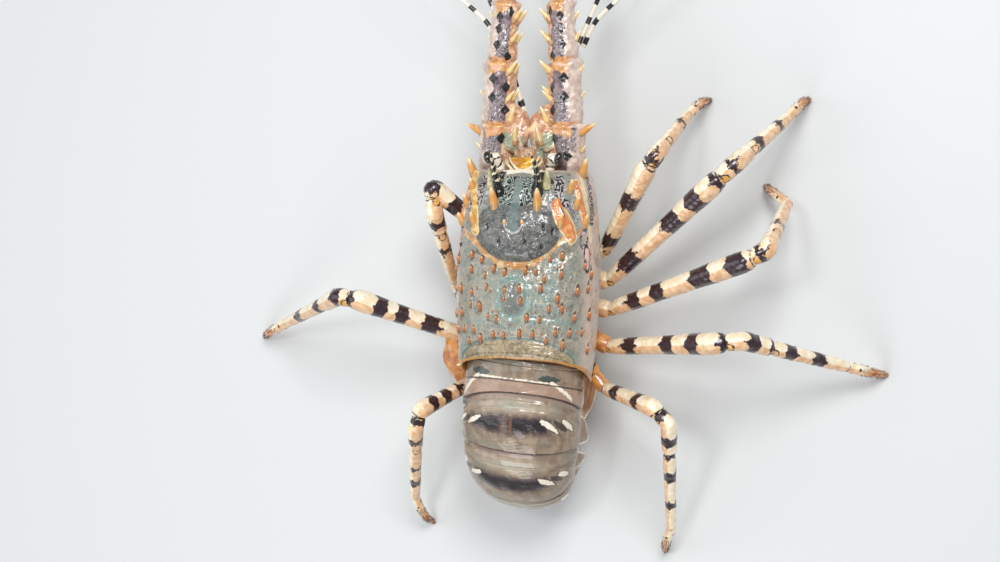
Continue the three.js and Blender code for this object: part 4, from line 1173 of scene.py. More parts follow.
def limb(piece, route, profile, girth, side, at, bands, flare=0.0, **marks):
    """One hard segment of a leg. at is its start's distance from the hip, and bands are dark."""
    path, length = softened(route)
    t = np.linspace(0, 1, len(path))
    ends = np.sqrt(np.clip(np.minimum(t, 1 - t) * length / 2.2, 0, 1)) * 0.35 + 0.65
    radius = smooth(profile, t) * girth * ends
    grid, turn = rings(path, radius * 0.94, radius * 1.04, 40)
    swell = 0.2 * ripple(grid, 6, 21) + 0.06 * ripple(grid, 2.2, 22) + flare * bump(t, 0.93, 0.05)[:, None]
    grid = lifted(grid, swell, path)
    along = spread(t * length, grid)
    from_patch = turn - (0.84 if side > 0 else 2.3)
    from_patch = np.arctan2(np.sin(from_patch), np.cos(from_patch))
    patch = 3.0 * girth - np.hypot(along - 3.6, from_patch * radius[:, None])
    rear = np.minimum(along, length - along)
    crease = 0.5 - np.abs(rear - 1.6 - 1.0 * np.sin(2 * turn + at))
    values = {
        "upper": -side * np.cos(turn) + 0.05,
        "joint": patch,
        "line": union(0.5 - np.abs(patch + 0.4), np.minimum(crease, np.sin(turn + at) * 3 + 1)),
        "band": leg_fields(along + at, turn, bands, at - 9, at + length + 9),
        "amber": BARE,
        "toe": BARE,
    }
    values.update(marks)
    piece.add(grid, **values)
    return length


def leg(name, side, number, joints, girth, bands, shell, bristle):
    """One walking leg, from its coxa to its bristly toe."""
    title = f"leg_{number + 1}_{name}"
    rng = np.random.default_rng(SEED + 20 + number * 2 + (side > 0))
    hip, knee, wrist, ankle, toe = (np.array(joint, float) for joint in joints)
    corners = STERNUM_CORNERS[number:number + 2]
    corner_front, corner_rear = (np.array([side * half, y, COXA_Z]) for y, half in corners)
    wall = unit(corner_front - corner_rear)
    away = np.array([wall[1] * side, -wall[0] * side, 0])
    root = (corner_front + corner_rear) / 2 + away * 0.3
    bend = root + (hip - root) * 0.55
    amber_base = number >= 3
    upper = Piece(title + "_base", "legs", shell, [title + "_upper"])
    t = np.linspace(0, 1, 24)
    path = root + (bend + away * 4 - root) * t[:, None]
    size = smooth(COXA_PROFILE, t)
    turn = round_turns(40)
    grid = path[:, None] + wall * (size[:, None] * np.cos(turn))[..., None]
    grid = grid + np.array([0, 0, 1.0]) * (size[:, None] * 0.92 * np.sin(turn))[..., None]
    amber = 6 - 4 * ripple(grid, 9, number) if amber_base else -2 - 3 * ripple(grid, 9, number)
    seam = 0.5 - np.abs(t[:, None] * 12 - 9)
    upper.add(grid, **{**BARE_LEG, "amber": amber, "line": seam, "upper": np.sin(turn)})
    way = unit(hip - bend)
    marks = {**BARE_LEG, "amber": 2.0 if amber_base else -1.5}
    limb(upper, [bend - way * 3, hip + way * 1.5], ISCHIUM_PROFILE, girth, side, -20, [], **marks)
    knee_end = knee + (wrist - knee) * KNEE_SHARE
    wrist_end = wrist + (ankle - wrist) * WRIST_SHARE
    shares = np.linspace(0, 1, 9)
    profile = np.stack([shares, smooth(MERUS_PROFILE, shares)], -1)
    way = unit(knee - hip)
    merus = limb(upper, [hip - way * 1.5, knee, knee_end], profile, girth, side, 0, bands, 0.5)
    tip_out = unit(np.array([0, 0, 1.0]) - way * way[2])
    for shift in (-1, 1):
        foot = knee - way * 3 + unit(tip_out + np.cross(way, tip_out) * 0.6 * shift) * 6.4 * girth
        cone(upper, foot, way + 0.4 * tip_out, 4.5 * girth, 1.5, 2, upper=1, **BARE_LEG)
    upper.done()
    lower = Piece(title + "_shin", "legs", shell, [title + "_lower"])
    route = [knee_end - unit(wrist - knee) * 1.5, wrist, wrist_end]
    carpus = limb(lower, route, CARPUS_PROFILE, girth, side, merus - 2, bands, 0.5)
    axis = unit(ankle - wrist)
    route = [wrist_end - axis * 1.5, ankle + axis * 0.5]
    limb(lower, route, SHIN_PROFILE, girth, side, merus + carpus - 3, bands, joint=BARE)
    way = unit(np.array([toe[0] - ankle[0], toe[1] - ankle[1], 0]))
    middle = ankle + (toe - ankle) * 0.55 + way * 3 + [0, 0, 3]
    axis = unit(toe - ankle)
    path, length = catmull([ankle - axis * 3, ankle + axis, middle, toe], 50)
    across = unit(np.cross(way, [0, 0, 1.0]))
    t = np.linspace(0, 1, 50)
    size = smooth(TOE_PROFILE, t) * girth
    along_way = unit(np.gradient(path, axis=0))
    flat = rise(t, 0.85, 1.0)[:, None]
    lift = unit(np.cross(across, along_way) * (1 - flat) + way * flat)
    turn = round_turns(32)
    grid = path[:, None] + across * (size[:, None] * np.cos(turn))[..., None]
    grid = grid + lift[:, None] * (size[:, None] * np.sin(turn))[..., None]
    grid[..., 2] = np.maximum(grid[..., 2], 0)
    along = spread(t * length, grid)
    spots = union(
        1.5 - np.hypot(along - 7, 3 * np.sin(turn)),
        1.1 - np.hypot(along - 12, 3 * np.cos(turn)),
    )
    marks = {"toe": along - length * 0.5, "line": spots, "upper": -side * np.cos(turn)}
    lower.add(grid, **{**BARE_LEG, **marks})
    lower.done()
    hairs = Piece(title + "_bristles", "legs", bristle)
    for _ in range(fewer(150)):
        i = int(rng.uniform(0.3, 0.97) * 49)
        angle = rng.uniform(0, 2 * math.pi)
        out = across * math.cos(angle) + lift[i] * math.sin(angle)
        foot = path[i] + out * size[i] * 0.9
        lean = unit(out * 0.5 + along_way[i])
        reach = rng.uniform(1.6, 3.6)
        if foot[2] + lean[2] * reach >= 0.4:
            cone(hairs, foot, lean, reach, 0.22, 0.5, sides=4, rows=4)
    hairs.done()


def flank_lobe(paint):
    """The amber bulge of the body between the bases of the last two left legs."""
    piece = Piece("flank_lobe_left", "legs", paint)
    path, _ = catmull(FLANK_ROUTE, 60)
    wide = smooth(FLANK_WIDTHS, np.linspace(0, 1, 60))
    grid, _ = rings(path, wide, wide * 0.55, 40)
    grid = lifted(grid, 0.8 * ripple(grid, 12, 91) + 0.3 * ripple(grid, 4, 92))
    piece.add(grid, **{**BARE_LEG, "amber": 4.5 - 5 * ripple(grid, 16, 93), "upper": 0.5})
    piece.done()


def sternum(paint):
    """The plate under the thorax, ribbed between the legs."""
    piece = Piece("sternum_plate", "underside", paint, ["sternum"])
    y = np.linspace(83, -23, 120)
    places, widths = np.array(STERNUM_CORNERS, float).T
    half = np.interp(-y, -places, widths)
    top = UNDERSIDE_Z - 0.3
    outline = [(-1, top), (-1, 52), (-1, 46), (-0.8, 44.3), (-0.5, 43.4), (-0.2, 43.9), (0, 44.6)]
    outline += [(-share, z) for share, z in outline[-2::-1]]
    steps = np.linspace(0, 1, len(outline))
    share, z = (np.interp(np.linspace(0, 1, 61), steps, values) for values in np.array(outline).T)
    grid = np.stack([
        half[:, None] * share,
        np.broadcast_to(y[:, None], (120, 61)),
        np.broadcast_to(z, (120, 61)),
    ], -1)
    seams = np.min([np.abs(y - place) for place in places[1:-1]], axis=0)
    dent = 1.2 * bump(seams, 0, 1.4)[:, None] * (z < 47)
    grid[..., 2] += dent + 0.3 * ripple(grid, 9, 31) * (z < 50)
    piece.add(grid)
    piece.done()


def mouth(paint, leg_shell, bristle):
    """The mouthparts, and the maxillipeds with their bristles."""
    piece = Piece("mouth_parts", "underside", paint, ["mouth"], HEAD_YAW)
    y = 88 + 36 * np.linspace(0, 1, 50)
    half = smooth([[88, 10], [100, 14], [114, 13], [124, 7]], y)
    low = smooth([[88, 50], [100, 47], [114, 48], [124, 54]], y)
    top = UNDERSIDE_Z - 0.3
    turn = np.linspace(0, 2 * math.pi, 48, endpoint=False)
    x, z = squared(turn, 0.7)
    grid = np.stack([
        half[:, None] * x,
        np.broadcast_to(y[:, None], (50, 48)),
        (top + low)[:, None] / 2 + ((top - low) / 2)[:, None] * z,
    ], -1)
    split = bump(grid[..., 0], 0, 1.2) * (z < 0)
    grid[..., 2] += 1.8 * split
    piece.add(grid)
    piece.done()
    rng = np.random.default_rng(SEED + 5)
    for name, side in SIDES:
        limb_piece = Piece("maxilliped_limb_" + name, "legs", leg_shell, ["maxilliped_" + name], HEAD_YAW)
        path, length = catmull([mirrored(p, side) for p in MAXILLIPED_ROUTE], 90)
        t = np.linspace(0, 1, 90)
        pinch = 1 - 0.22 * sum(bump(t, at, 0.02) for at in MAXILLIPED_JOINTS)
        grid, turn = rings(path, (5 - 2.4 * t) * pinch, (5.4 - 2.8 * t) * pinch, 28, (side, 0, 0.2))
        along = spread(t * length, grid)
        joint = np.max([2.5 - np.abs(along - at * length) for at in MAXILLIPED_JOINTS], axis=0)
        band = np.max([2.0 - np.abs(along - at * length) for at in (0.2, 0.5)], axis=0)
        limb_piece.add(grid, **{**BARE_LEG, "joint": joint, "band": band, "upper": np.sin(turn)})
        limb_piece.done()
        hairs = Piece("maxilliped_bristles_" + name, "legs", bristle, yaw=HEAD_YAW)
        for _ in range(fewer(110)):
            i = rng.integers(30, 89)
            inward = np.array([-side * rng.uniform(0.3, 1), rng.uniform(-0.5, 0.5), rng.uniform(-0.5, 0.6)])
            foot = path[i] + unit(inward) * (5 - 2.4 * t[i]) * 0.8
            cone(hairs, foot, inward, rng.uniform(2, 4.5), 0.22, 0.5, sides=4, rows=4)
        hairs.done()


def diamond(along, across, middle, at, half_along, half_across):
    """The distance inside a diamond-shaped spot."""
    out = np.abs(along - middle) / half_along + np.abs(across - at) / half_across
    return (1 - out) * min(half_along, half_across) * 0.8


def antenna_segment(piece, number, start, end, square, side, near, far):
    """One stout joint of the antenna, with a knobbed far edge."""
    length = np.linalg.norm(end - start)
    across_way = unit(np.cross(square, [0, 0, 1.0]))
    lift = np.cross(across_way, square)
    t = np.linspace(0, 1, 110)
    profile = [[0, near * 0.84], [0.12, near], [0.5, (near + far) / 2], [0.9, far * 1.05], [1, far * 0.8]]
    turn = round_turns(84)
    size = smooth(profile, t)[:, None] * (1 + 0.03 * np.cos(4 * turn))
    path = start + (end - start) * t[:, None]
    grid = path[:, None] + across_way * (size * np.cos(turn))[..., None]
    grid = grid + lift * (size * 0.9 * np.sin(turn))[..., None]
    along = spread(t * length, grid)
    outward = np.broadcast_to(np.degrees(np.arctan2(np.cos(turn) * side, np.sin(turn))), along.shape)
    spots = [diamond(along, outward, middle, at, 4.4, 18) for middle, at in ANTENNA_SPOTS[number]]
    wave = 1.5 * np.sin(outward * DEGREE * 4)
    joint = np.minimum(5.5 - np.abs(length - along - 4.5) + wave, (38 - np.abs(outward + 8)) * 0.2)
    if number:
        joint = union(joint, np.minimum(4.0 - along, (60 - np.abs(outward)) * 0.2))
    middle, half, at = ANTENNA_MAZES[number]
    knob = bump(t[:, None], 0.93, 0.045) * (1 + 0.4 * np.cos(3 * turn))
    knob = knob + 1.6 * bump(t[:, None], 0.93, 0.06) * np.clip(np.cos(turn) * side, 0, 1) ** 2
    relief = (
        0.6 * ripple(grid, 11, 40 + number)
        + 0.2 * ripple(grid, 3.4, 41)
        + 1.1 * knob
        - 0.6 * bump(outward, 10, 6)
        - 0.4 * bump(outward, -42, 6)
    )
    piece.add(
        lifted(grid, relief, path),
        outer=(outward - 10) * 0.22,
        inner=(-44 - outward) * 0.22 + (3 if number == 0 else 0),
        maze=np.minimum(half - np.abs(along - middle), (30 - np.abs(outward - at)) * 0.2),
        joint=joint,
        spot=np.max(spots, axis=0),
        green=BARE,
        below=(np.abs(outward) - 122) * 0.2,
    )


def antenna_lobe(piece, side):
    """The fleshy inner shoulder of the antenna's base, which meets the other one at the midline."""
    path, length = catmull([mirrored(p, side) for p in LOBE_ROUTE], 70)
    t = np.linspace(0, 1, 70)
    wide = smooth(LOBE_WIDTHS, t)
    grid, turn = rings(path, wide, wide * 0.62, 44)
    green = np.minimum(5.5 - np.abs(spread(t * length, grid) - 7), (np.sin(turn) - 0.35) * 6)
    grid = lifted(grid, 0.7 * ripple(grid, 7, 75) + 0.3 * ripple(grid, 3, 76), path)
    bare = dict.fromkeys(["outer", "maze", "joint", "spot", "below"], BARE)
    piece.add(grid, inner=9, green=green, **bare)


def antennae(shell, membrane, whip_shell, spine_shell, blunt_shell):
    """Both antennae: three stout joints with their sleeves and spines, and the whip."""
    for name, side in SIDES:
        rng = np.random.default_rng(SEED + 60 + side)
        joints = [mirrored(joint, side) for joint in ANTENNA_JOINTS]
        spines = Piece("antenna_spines_" + name, "antennae", spine_shell, yaw=HEAD_YAW)
        for i, title in enumerate(("base", "middle", "end")):
            near, far = ANTENNA_RADII[i]
            axis = unit(joints[i + 1] - joints[i])
            start = joints[i] - axis * (2 if i else 0)
            end = joints[i + 1] + axis * 0.4
            square = axis if i else np.array([0, 1.0, 0])
            node = f"antenna_{name}_{title}"
            piece = Piece(f"antenna_{title}_{name}", "antennae", shell, [node], HEAD_YAW)
            antenna_segment(piece, i, start, end, square, side, near, far)
            if i == 0:
                antenna_lobe(piece, side)
            piece.done()
            sleeve = Piece(f"antenna_sleeve_{i + 1}_{name}", "antennae", membrane, yaw=HEAD_YAW)
            path = joints[i + 1] + axis * np.linspace(-4, 5, 20)[:, None]
            width = far * (0.8 - 0.1 * np.abs(np.linspace(-1, 1, 20))) * (0.82 if i == 2 else 1)
            grid, _ = rings(path, width, width * 0.9, 48)
            sleeve.add(lifted(grid, 0.25 * ripple(grid, 3, 70)))
            sleeve.done()
            across = unit(np.cross(square, [0, 0, 1.0]))
            lift = np.cross(across, square)
            for place in ANTENNA_SPINE_PLACES[i]:
                for degrees in ANTENNA_SPINE_TURNS[i]:
                    turn = (degrees + rng.uniform(-8, 8)) * DEGREE
                    out = across * side * math.cos(turn) + lift * math.sin(turn)
                    foot = start + (end - start) * (place + rng.uniform(-0.03, 0.03))
                    foot = foot + out * (near + far) * 0.46
                    size = (1 + rng.uniform(-0.2, 0.2)) * (1.5 if degrees > 150 else 1)
                    length = ANTENNA_SPINE_LENGTH * size
                    radius = ANTENNA_SPINE_RADIUS * size
                    cone(spines, foot, out + 1.2 * axis, length, radius, 2.5, 0.6, 14, 12)
        for foot, tip, radius in INNER_SPINES:
            spike(spines, side, foot, tip, radius)
        spines.done()
        blunt = Piece("antenna_side_spine_" + name, "antennae", blunt_shell, yaw=HEAD_YAW)
        foot, tip, radius = OUTER_SPINE
        spike(blunt, side, foot, tip, radius, 4, 20, 16)
        blunt.done()
        whip(name, side, whip_shell, spine_shell)


def whip(name, side, shell, spine_shell):
    """The long stiff end of an antenna, ringed all along, with rows of small thorns."""
    nodes = [f"antenna_{name}_whip_near", f"antenna_{name}_whip_far"]
    piece = Piece("antenna_whip_" + name, "antennae", shell, nodes, HEAD_YAW)
    path, length = catmull([mirrored(p, side) for p in WHIP_ROUTE], WHIP_ROWS)
    t = np.linspace(0, 1, WHIP_ROWS)
    along = t * length
    ring = np.abs(np.sin(along / WHIP_RING_SPACING * math.pi))
    radius = smooth(WHIP_RADII, t) * (0.95 + 0.06 * ring)
    grid, _ = rings(path, radius, radius, 16)
    band = 6 - np.abs((along % WHIP_BAND_SPACING) - WHIP_BAND_SPACING / 2)
    piece.add(grid, crease=spread(1 - ring, grid), band=spread(band, grid))
    piece.done()
    thorns = Piece("antenna_whip_thorns_" + name, "antennae", spine_shell, yaw=HEAD_YAW)
    way, across, lift = frames(path, (0, 0, 1))
    for k, at in enumerate(np.arange(12, length * 0.72, fewer(7))):
        i = int(at / length * (WHIP_ROWS - 1))
        radius = smooth(WHIP_RADII, t[i])
        size = radius / 6
        for j in range(4):
            angle = (j + 0.5 * (k % 2)) * math.pi / 2
            out = across[i] * math.cos(angle) + lift[i] * math.sin(angle)
            foot = path[i] + out * radius * 0.9
            cone(thorns, foot, out + 1.3 * way[i], 2.6 * size + 0.6, 0.7 * size + 0.15, 0.5, sides=6, rows=5)
    thorns.done()


def antennules(paint):
    """Both antennules: a banded stalk with two banded branches."""
    for name, side in SIDES:
        route = [mirrored(p, side) for p in ANTENNULE_ROUTE]
        stem = Piece("antennule_stalk_" + name, "antennules", paint, [f"antennule_{name}_stem"], HEAD_YAW)
        path, length = catmull(route, 120)
        keep = path[:, 1] > PLATE_FRONT
        path = path[keep]
        t = np.linspace(0, 1, 120)[keep]
        swell = 1 + 0.18 * (bump(t, 0.45, 0.05) + bump(t, 0.74, 0.04) + bump(t, 0.98, 0.03))
        radius = (ANTENNULE_RADIUS - t) * 0.92 * swell
        grid, turn = rings(path, radius, radius, 24)
        along = spread(t * length, grid)
        stem.add(grid, band=2.8 - np.abs((along + 2 * np.sin(turn)) % 16 - 8))
        stem.done()
        end = route[-1]
        for branch, spread_way in (("outer", 1), ("inner", -1)):
            points = [mirrored(p, side) for p in FILAMENT_ROUTES[branch]]
            points[0] = end + unit(points[1] - end) * 4 + np.array([side * spread_way * 1.9, 0, 0])
            path, length = catmull(points, 420)
            t = np.linspace(0, 1, 420)
            ring = np.abs(np.sin(t * length / 1.5 * math.pi))
            radius = (FILAMENT_RADIUS - 1.6 * t) * (0.94 + 0.08 * ring)
            grid, _ = rings(path, radius, radius, 14)
            node = f"antennule_{name}_{branch}"
            piece = Piece(f"antennule_{branch}_{name}", "antennules", paint, [node], HEAD_YAW)
            piece.add(grid, band=2.8 - np.abs((spread(t * length, grid) + 3) % 16 - 8))
            piece.done()


def back_table():
    """Points of the abdomen's back line, by the length along it."""
    lengths = np.linspace(0, SOMITE_ENDS[-1], BACK_STEPS + 1)
    step = SOMITE_ENDS[-1] / BACK_STEPS
    middle = smooth(BACK_TURN, lengths[:-1] + step / 2) * DEGREE
    y = np.concatenate([[0], np.cumsum(-np.cos(middle) * step)])
    z = np.concatenate([[0], np.cumsum(-np.sin(middle) * step)])
    return lengths, y, z


BACK_LENGTHS, BACK_Y, BACK_Z = back_table()
BACK_START = np.array([0, ABDOMEN_START_Y, TAIL_LEVEL - BACK_Z[-1]])


def back_line(length):
    """The place, heading and outward direction at each length along the abdomen's back."""
    length = np.asarray(length, float)
    y = np.interp(length, BACK_LENGTHS, BACK_Y)
    z = np.interp(length, BACK_LENGTHS, BACK_Z)
    heading = smooth(BACK_TURN, length) * DEGREE
    zero = np.zeros_like(y)
    point = np.stack([zero, y, z], -1) + BACK_START
    along = np.stack([zero, -np.cos(heading), -np.sin(heading)], -1)
    out = np.stack([zero, -np.sin(heading), np.cos(heading)], -1)
    return point, along, out


def sweep_share(length):
    """How much of the rearward sweep of the rings' sides is due at each length."""
    return rise(length, 12, 28) * (1 - rise(length, 34, 72))


def somite_grid(length, proud, columns=120):
    """Rings of the abdomen at each length. Gives the points and the turn from the midline."""
    turn = np.linspace(-math.pi / 2, math.pi / 2, columns)
    shares = np.array([0.985, 0.95, 0.8, 0.6, 0.3, 0, -0.3, -0.6, -0.8, -0.95, -0.985])
    lows = np.array([0.72, 0.86, 0.95, 1, 0.985, 0.97, 0.985, 1, 0.95, 0.86, 0.72])
    side = np.concatenate([turn / (math.pi / 2), shares * 0.9])
    swept = length[:, None] + sweep_share(length)[:, None] * (ABDOMEN_SWEEP * side ** 2 - ABDOMEN_SKEW * side)
    point, _, out = back_line(swept)
    half = (smooth(ABDOMEN_HALF_WIDTH, length) + proud)[:, None]
    thick = smooth(ABDOMEN_THICKNESS, length)[:, None]
    arch = thick * 0.62 + proud[:, None]
    x = half * np.sign(turn) * np.abs(np.sin(turn)) ** 0.9
    depth = arch * (1 - np.cos(turn) ** 0.9)
    x = np.concatenate([x, half * shares], axis=1)
    depth = np.concatenate([depth, thick * lows + 2 * proud[:, None]], axis=1)
    grid = point + out * (proud[:, None] - depth)[..., None]
    grid[..., 0] += x
    turns = np.concatenate([turn, np.full(len(shares), 2.6)])
    return grid, np.broadcast_to(turns, grid.shape[:2])


def somite_marks(number, t, turn, length):
    """Bands and patches of one ring of the tail, by the share along it and the turn across it."""
    along = t * length
    across = turn / DEGREE * 0.62
    side = np.abs(across)
    marks = dict.fromkeys(SOMITE_MARKS, BARE)
    marks["front"] = 3 - along
    marks["below"] = (np.abs(turn) - 1.75) * 20
    if number == 1:
        line = along - length * 0.62
        wedge = np.abs(line - 0.45 * np.maximum(0, side - 23))
        marks["white"] = np.minimum(np.where(side < 22, 0.45, 1.3) - wedge, 40 - side)
        marks["green"] = 3.0 * (1 - ((side - 21) / 8) ** 2) - np.abs(line + 2.6)
        # A real dark line behind the white band, and the rear edge darkened as painted crease shade.
        marks["seam"] = union(0.45 - np.abs(line - 1.4), along - length * 0.965)
        marks["pink"] = along - length * 0.66
    if number in (2, 3, 4, 5):
        middle = length * (0.52 if number == 2 else 0.56) - 0.003 * side ** 2
        curve = along - middle
        width = 6.5 - 0.003 * side ** 2
        band = np.minimum(width - np.abs(curve), 23 - side)
        cut = np.minimum(1.5 - np.abs(across + 2.2), 9 - np.abs(curve))
        marks["band"] = np.minimum(band, -cut) if number == 2 else band
        inner = (side - 24 - curve * 1.0) / 1.41
        outer = (side - 39 - curve * 0.8) / 1.3
        inner_patch = (2.2 - 0.18 * np.clip(curve, -8, 8)) * (1 - (curve / 6) ** 2) - np.abs(inner)
        outer_patch = (2.5 - 0.18 * np.clip(curve, -8, 8)) * (1 - (curve / 6.5) ** 2) - np.abs(outer)
        marks["white"] = union(inner_patch, outer_patch)
        marks["shade"] = union(
            3.6 * (1 - (curve / 6) ** 2) - np.abs(side - 32 - curve * 0.9),
            0.5 - np.abs(marks["white"] + 0.4),
        )
        if number == 2:
            marks["tick"] = np.minimum(0.45 - np.abs(across - 0.8), 5.5 - np.abs(curve))
        else:
            marks["tick"] = 0.9 - np.hypot(side - 4.5, curve + 9)
        # The rear edge darkened as painted crease shade where the ring tucks over the next one.
        marks["seam"] = along - length * 0.965
        # Painted highlight across the ring's front, strongest at the midline.
        marks["glow"] = 9 - np.abs(along - length * 0.2) - side * 0.25
    return marks


def pleuron(piece, start, end, side):
    """The side lobe of a ring: a swept leaf with a pale raised rim and a tooth at its end."""
    place = start + (end - start) * 0.45
    place = place + (ABDOMEN_SWEEP - ABDOMEN_SKEW * side) * sweep_share(place)
    point, along, out = back_line(place)
    half = smooth(ABDOMEN_HALF_WIDTH, place)
    thick = smooth(ABDOMEN_THICKNESS, place)
    turning = (smooth(BACK_TURN, place + 2) - smooth(BACK_TURN, place - 2)) / 4 * DEGREE
    t = np.linspace(0, 1, 46)
    depth = thick * (0.5 + 0.42 * t)
    spread_out = (end - start) * 0.36 * (1 - depth * turning)
    width = (spread_out * smooth([[0, 1], [0.52, 0.82], [0.85, 0.42], [1, 0.02]], t))[:, None]
    back = smooth([[0, 0], [0.52, 0.25], [1, 0.9]], t)
    x = half * smooth([[0, 0.84], [0.52, 0.99], [1, 1.06]], t)
    thickness = smooth([[0, 4], [0.52, 2.4], [0.9, 1.2], [1, 0.4]], t)[:, None]
    centre = point - out * depth[:, None] + along * (back * spread_out)[:, None]
    centre[:, 0] += x * side
    lift = unit(np.array([side, 0, 0]) - out * 0.3)
    turn = round_turns(44)
    c = np.cos(turn)
    s = np.sin(turn)
    rim = 0.5 * rise(np.abs(c), 0.8, 0.95) * (s > 0)
    grid = centre[:, None] + along * (width * c)[..., None]
    grid = grid + lift * (thickness * s * np.abs(s) ** -0.2 + rim)[..., None]
    edge = np.maximum(1.6 - width * (1 - np.abs(c)), (t[:, None] - 0.88) * 20)
    blush = 2.5 - np.hypot(width * c * 0.5, (t[:, None] - 0.55) * 22)
    bare = dict.fromkeys(["front", "below", *SOMITE_MARKS], BARE)
    piece.add(grid, **{**bare, "white": edge, "tick": blush})


def pleopod(piece, number, side):
    """A leaf-shaped swimming flap under a ring of the tail."""
    place = (SOMITE_ENDS[number - 1] + SOMITE_ENDS[number]) / 2 + 5
    point, _, out = back_line(place)
    root = point - out * (smooth(ABDOMEN_THICKNESS, place) - 3)
    root = root + [smooth(ABDOMEN_HALF_WIDTH, place) * 0.62 * side, 0, 0]
    t = np.linspace(0, 1, 36)
    width = smooth([[0, 3], [0.25, 8], [0.5, 10], [0.75, 8], [1, 1.2]], t)[:, None]
    depth = smooth([[0, 2.2], [0.25, 1.4], [0.5, 1.1], [0.75, 0.9], [1, 0.5]], t)[:, None]
    turn = round_turns(40)
    path = root + np.array([side * 2, 8, -27]) * t[:, None]
    grid = path[:, None] + unit([0, 1, 0.3]) * (width * np.cos(turn))[..., None]
    grid[..., 0] += depth * np.sin(turn)
    edge = 1.4 - width * (1 - np.abs(np.cos(turn)))
    piece.add(grid, edge=edge, far=BARE, rib=0, base=6 - t[:, None] * 27)


def abdomen(shell, flap, fringe):
    """The six rings of the tail, with their side lobes, swimming flaps and the fan."""
    for number in range(1, 7):
        start = SOMITE_ENDS[number - 1] + (0.3 if number > 1 else 0)
        end = SOMITE_ENDS[number] - (0.2 if number == 6 else 0)
        piece = Piece(f"tail_ring_{number}", "abdomen", shell, [f"abdomen_{number}"], ABDOMEN_YAW)
        t = np.concatenate([np.linspace(0, 0.16, 16), np.linspace(0.17, 0.9, 70), np.linspace(0.91, 1, 14)])
        length = start + (end - start) * t
        grid, turn = somite_grid(length, smooth(SOMITE_PROUD, t), 150)
        out = normals_of(grid, True)
        if out[50, 75] @ back_line(length[50])[2] < 0:
            out = -out
        relief = 0.22 * ripple(grid, 12, 80 + number) + 0.05 * ripple(grid, 3, 81)
        relief = relief - 0.5 * bump(t[:, None], 0.24, 0.02)
        grid = grid + out * (relief * (np.abs(turn) < 1.5))[..., None]
        piece.add(grid, **somite_marks(number, spread(t, grid), turn, end - start))
        if 1 < number < 6:
            for _, side in SIDES:
                pleuron(piece, start, end, side)
        piece.done()
        if number in (2, 3):
            for name, side in SIDES:
                leaf = Piece(f"swimming_flap_{number}_{name}", "abdomen", flap, yaw=ABDOMEN_YAW)
                pleopod(leaf, number, side)
                leaf.done()
    tail_fan(flap, fringe)


def blade(piece, hairs, foot, length, half_widths, levels, angle, rng):
    """A blade of the tail fan: leathery, ribbed lengthwise and fringed at its far edge."""
    rows = 90
    t = np.linspace(0, 1, rows)
    places = np.linspace(0, 1, len(half_widths))
    low, high = (np.interp(t, places, values)[:, None] for values in np.array(levels, float).T)
    round_end = np.sqrt(np.clip((1 - t) / 0.12, 0.0, 1))
    half = smooth(list(zip(places, half_widths)), t) * (0.35 + 0.65 * round_end)
    along = np.array([math.sin(angle), math.cos(angle), 0])
    across = np.array([math.cos(angle), -math.sin(angle), 0])
    turn = round_turns(96)
    c = np.cos(turn)[None]
    s = np.sin(turn)[None]
    thick = (high - low) / 2
    ribs = np.cos(c * 26) * rise(t, 0.25, 0.5)[:, None] * (np.abs(s) > 0.2)
    z = (low + high) / 2 + thick * np.sign(s) * np.abs(s) ** 0.5
    z = z + np.sign(s) * 0.22 * ribs * np.minimum(1, thick)
    grid = foot + along * (length * t)[:, None, None] + across * (half[:, None] * c)[..., None]
    grid[..., 2] = np.maximum(z, low)
    reach = spread(t * length, grid)
    distance = np.minimum(half[:, None] * (1 - np.abs(c)), length - reach)
    piece.add(grid, edge=1.0 - distance, far=reach - 24, rib=ribs * 0.5 + 0.5, base=10 - reach)
    for _ in range(fewer(150)):
        u = rng.uniform(-1, 1)
        i = int((0.9 + 0.095 * math.sqrt(1 - u * u)) * (rows - 1))
        spot = foot + along * length * t[i] + across * half[i] * u
        spot[2] = (low[i, 0] + high[i, 0]) / 2
        way = along + across * u * 0.5 + np.array([0, 0, rng.uniform(-0.02, 0.02)])
        cone(hairs, spot, way, rng.uniform(1.6, 3.0), 0.16, 1.0, sides=4, rows=4)


def tail_fan(paint, fringe):
    """The middle blade of the tail fan and two more on each side, with one fringe."""
    rng = np.random.default_rng(SEED + 90)
    end = back_line(SOMITE_ENDS[-1])[0]
    foot = np.array([0, end[1] + 0.3, 0])
    hairs = Piece("tail_fan_fringe", "tail_fan", fringe, yaw=ABDOMEN_YAW)
    parts = [("telson_blade", "telson", TELSON, [0, 0, 0], 0)]
    for name, side in SIDES:
        for kind, shape, across, angle in UROPODS:
            title = f"uropod_{kind}_blade_{name}"
            parts.append((title, f"uropod_{kind}_{name}", shape, [side * across, 1, 0], side * angle))
    for title, node, (length, half_widths, levels), offset, angle in parts:
        piece = Piece(title, "tail_fan", paint, [node], ABDOMEN_YAW)
        blade(piece, hairs, foot + offset, length, half_widths, levels, angle, rng)
        piece.done()
    hairs.done()


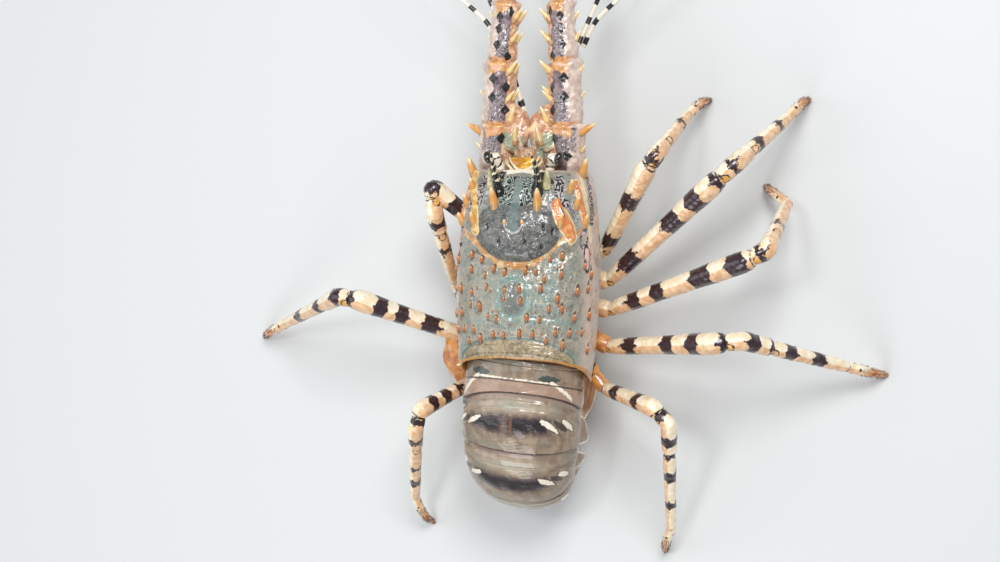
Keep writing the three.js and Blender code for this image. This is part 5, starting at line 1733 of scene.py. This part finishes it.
def stage():
    """A plain pale floor, soft light, and the camera at the photograph's angle."""
    floor_mesh = bpy.data.meshes.new("floor")
    corners = [(x * FLOOR_REACH, y * FLOOR_REACH, 0) for x, y in ((-1, -1), (1, -1), (1, 1), (-1, 1))]
    floor_mesh.from_pydata(corners, [], [(0, 1, 2, 3)])
    floor = bpy.data.objects.new("floor", floor_mesh)
    bpy.context.scene.collection.objects.link(floor)
    floor_mesh.materials.append(Paint("pale_floor").finish("d2d4d4", 0.7, coat=0.0))
    bpy.context.scene.view_settings.view_transform = "Standard"
    world = bpy.data.worlds.new("soft_room")
    world.use_nodes = True
    background = world.node_tree.nodes["Background"]
    background.inputs["Color"].default_value = ROOM_COLOUR
    background.inputs["Strength"].default_value = ROOM_STRENGTH
    bpy.context.scene.world = world
    for name, place, power, width in LIGHTS:
        light = bpy.data.lights.new(name, "AREA")
        light.energy = power
        light.size = width
        lamp = bpy.data.objects.new(name, light)
        lamp.location = place
        lamp.rotation_mode = "QUATERNION"
        lamp.rotation_quaternion = (Vector(LIGHTS_TARGET) - lamp.location).to_track_quat("-Z", "Y")
        bpy.context.scene.collection.objects.link(lamp)
    back = np.array([math.sin(VIEW_ROLL), 0, math.cos(VIEW_ROLL)])
    up = np.array([0, 1.0, 0])
    right = np.cross(up, back)
    eye = (np.array(VIEW_TARGET) + back * VIEW_DISTANCE + SHIFT) / 1000
    lens = bpy.data.cameras.new("camera")
    lens.sensor_width = SENSOR_WIDTH
    lens.lens = SENSOR_WIDTH * (VIEW_DISTANCE / VIEW_SCALE) / PICTURE_WIDTH
    lens.shift_x = VIEW_SHIFT / PICTURE_WIDTH
    lens.clip_end = 20
    camera = bpy.data.objects.new("camera", lens)
    turned = Matrix([list(row) for row in np.stack([right, up, back], axis=1)]).to_4x4()
    camera.matrix_world = Matrix.Translation(Vector(eye)) @ turned
    bpy.context.scene.collection.objects.link(camera)
    bpy.context.scene.camera = camera


def lobster():
    orange_spine = spine_paint("orange_spine", "76583f", "ac6532", "cb8f5c", "a39c72")
    large_spine = spine_paint("large_spine", "b38a58", "cf924a", "e9cb98")
    pale_spine = spine_paint("pale_spine", "b98a5e", "e0c083", "f2e3bd")
    leg_shell = leg_paint()
    bristle = dark_paint("bristle", "6b4630", 0.5, 0.1)
    black_and_white = banded_paint("black_and_white_shell", "e9e2d2", "140f0e")
    joint_skin = plain_paint("joint_skin", "b9622f", "d98f58", 4, 0.28, 0.4, 0.6)
    underside = plain_paint("underside_shell", "c7a676", "ddc8a2", 7)
    crescent = plain_paint("crescent_skin", "b9760f", "e3b02c", 6, 0.08, 0.1, 1.0)
    cream = plain_paint("cream_border", "d8c79c", "f0e8d3", 4, 0.25, 0.2, 0.8)
    carapace(carapace_paint())
    carapace_spines(orange_spine, large_spine)
    horns(horn_paint())
    eyes(banded_paint("eye_stalk_shell", "ece4d2", "0f0b0a"), dark_paint("cornea", "080605", 0.06, 1.0))
    face(face_paint(), crescent, cream)
    antennae(antenna_paint(), joint_skin, whip_paint(), pale_spine, large_spine)
    antennules(black_and_white)
    sternum(underside)
    mouth(underside, leg_shell, bristle)
    for name, side in SIDES:
        for number, (joints, girth) in enumerate(LEGS[name]):
            leg(name, side, number, joints, girth, LEG_BANDS[name][number], leg_shell, bristle)
    flank_lobe(leg_shell)
    abdomen(abdomen_paint(), tail_fan_paint(), bristle)


lobster()
stage()
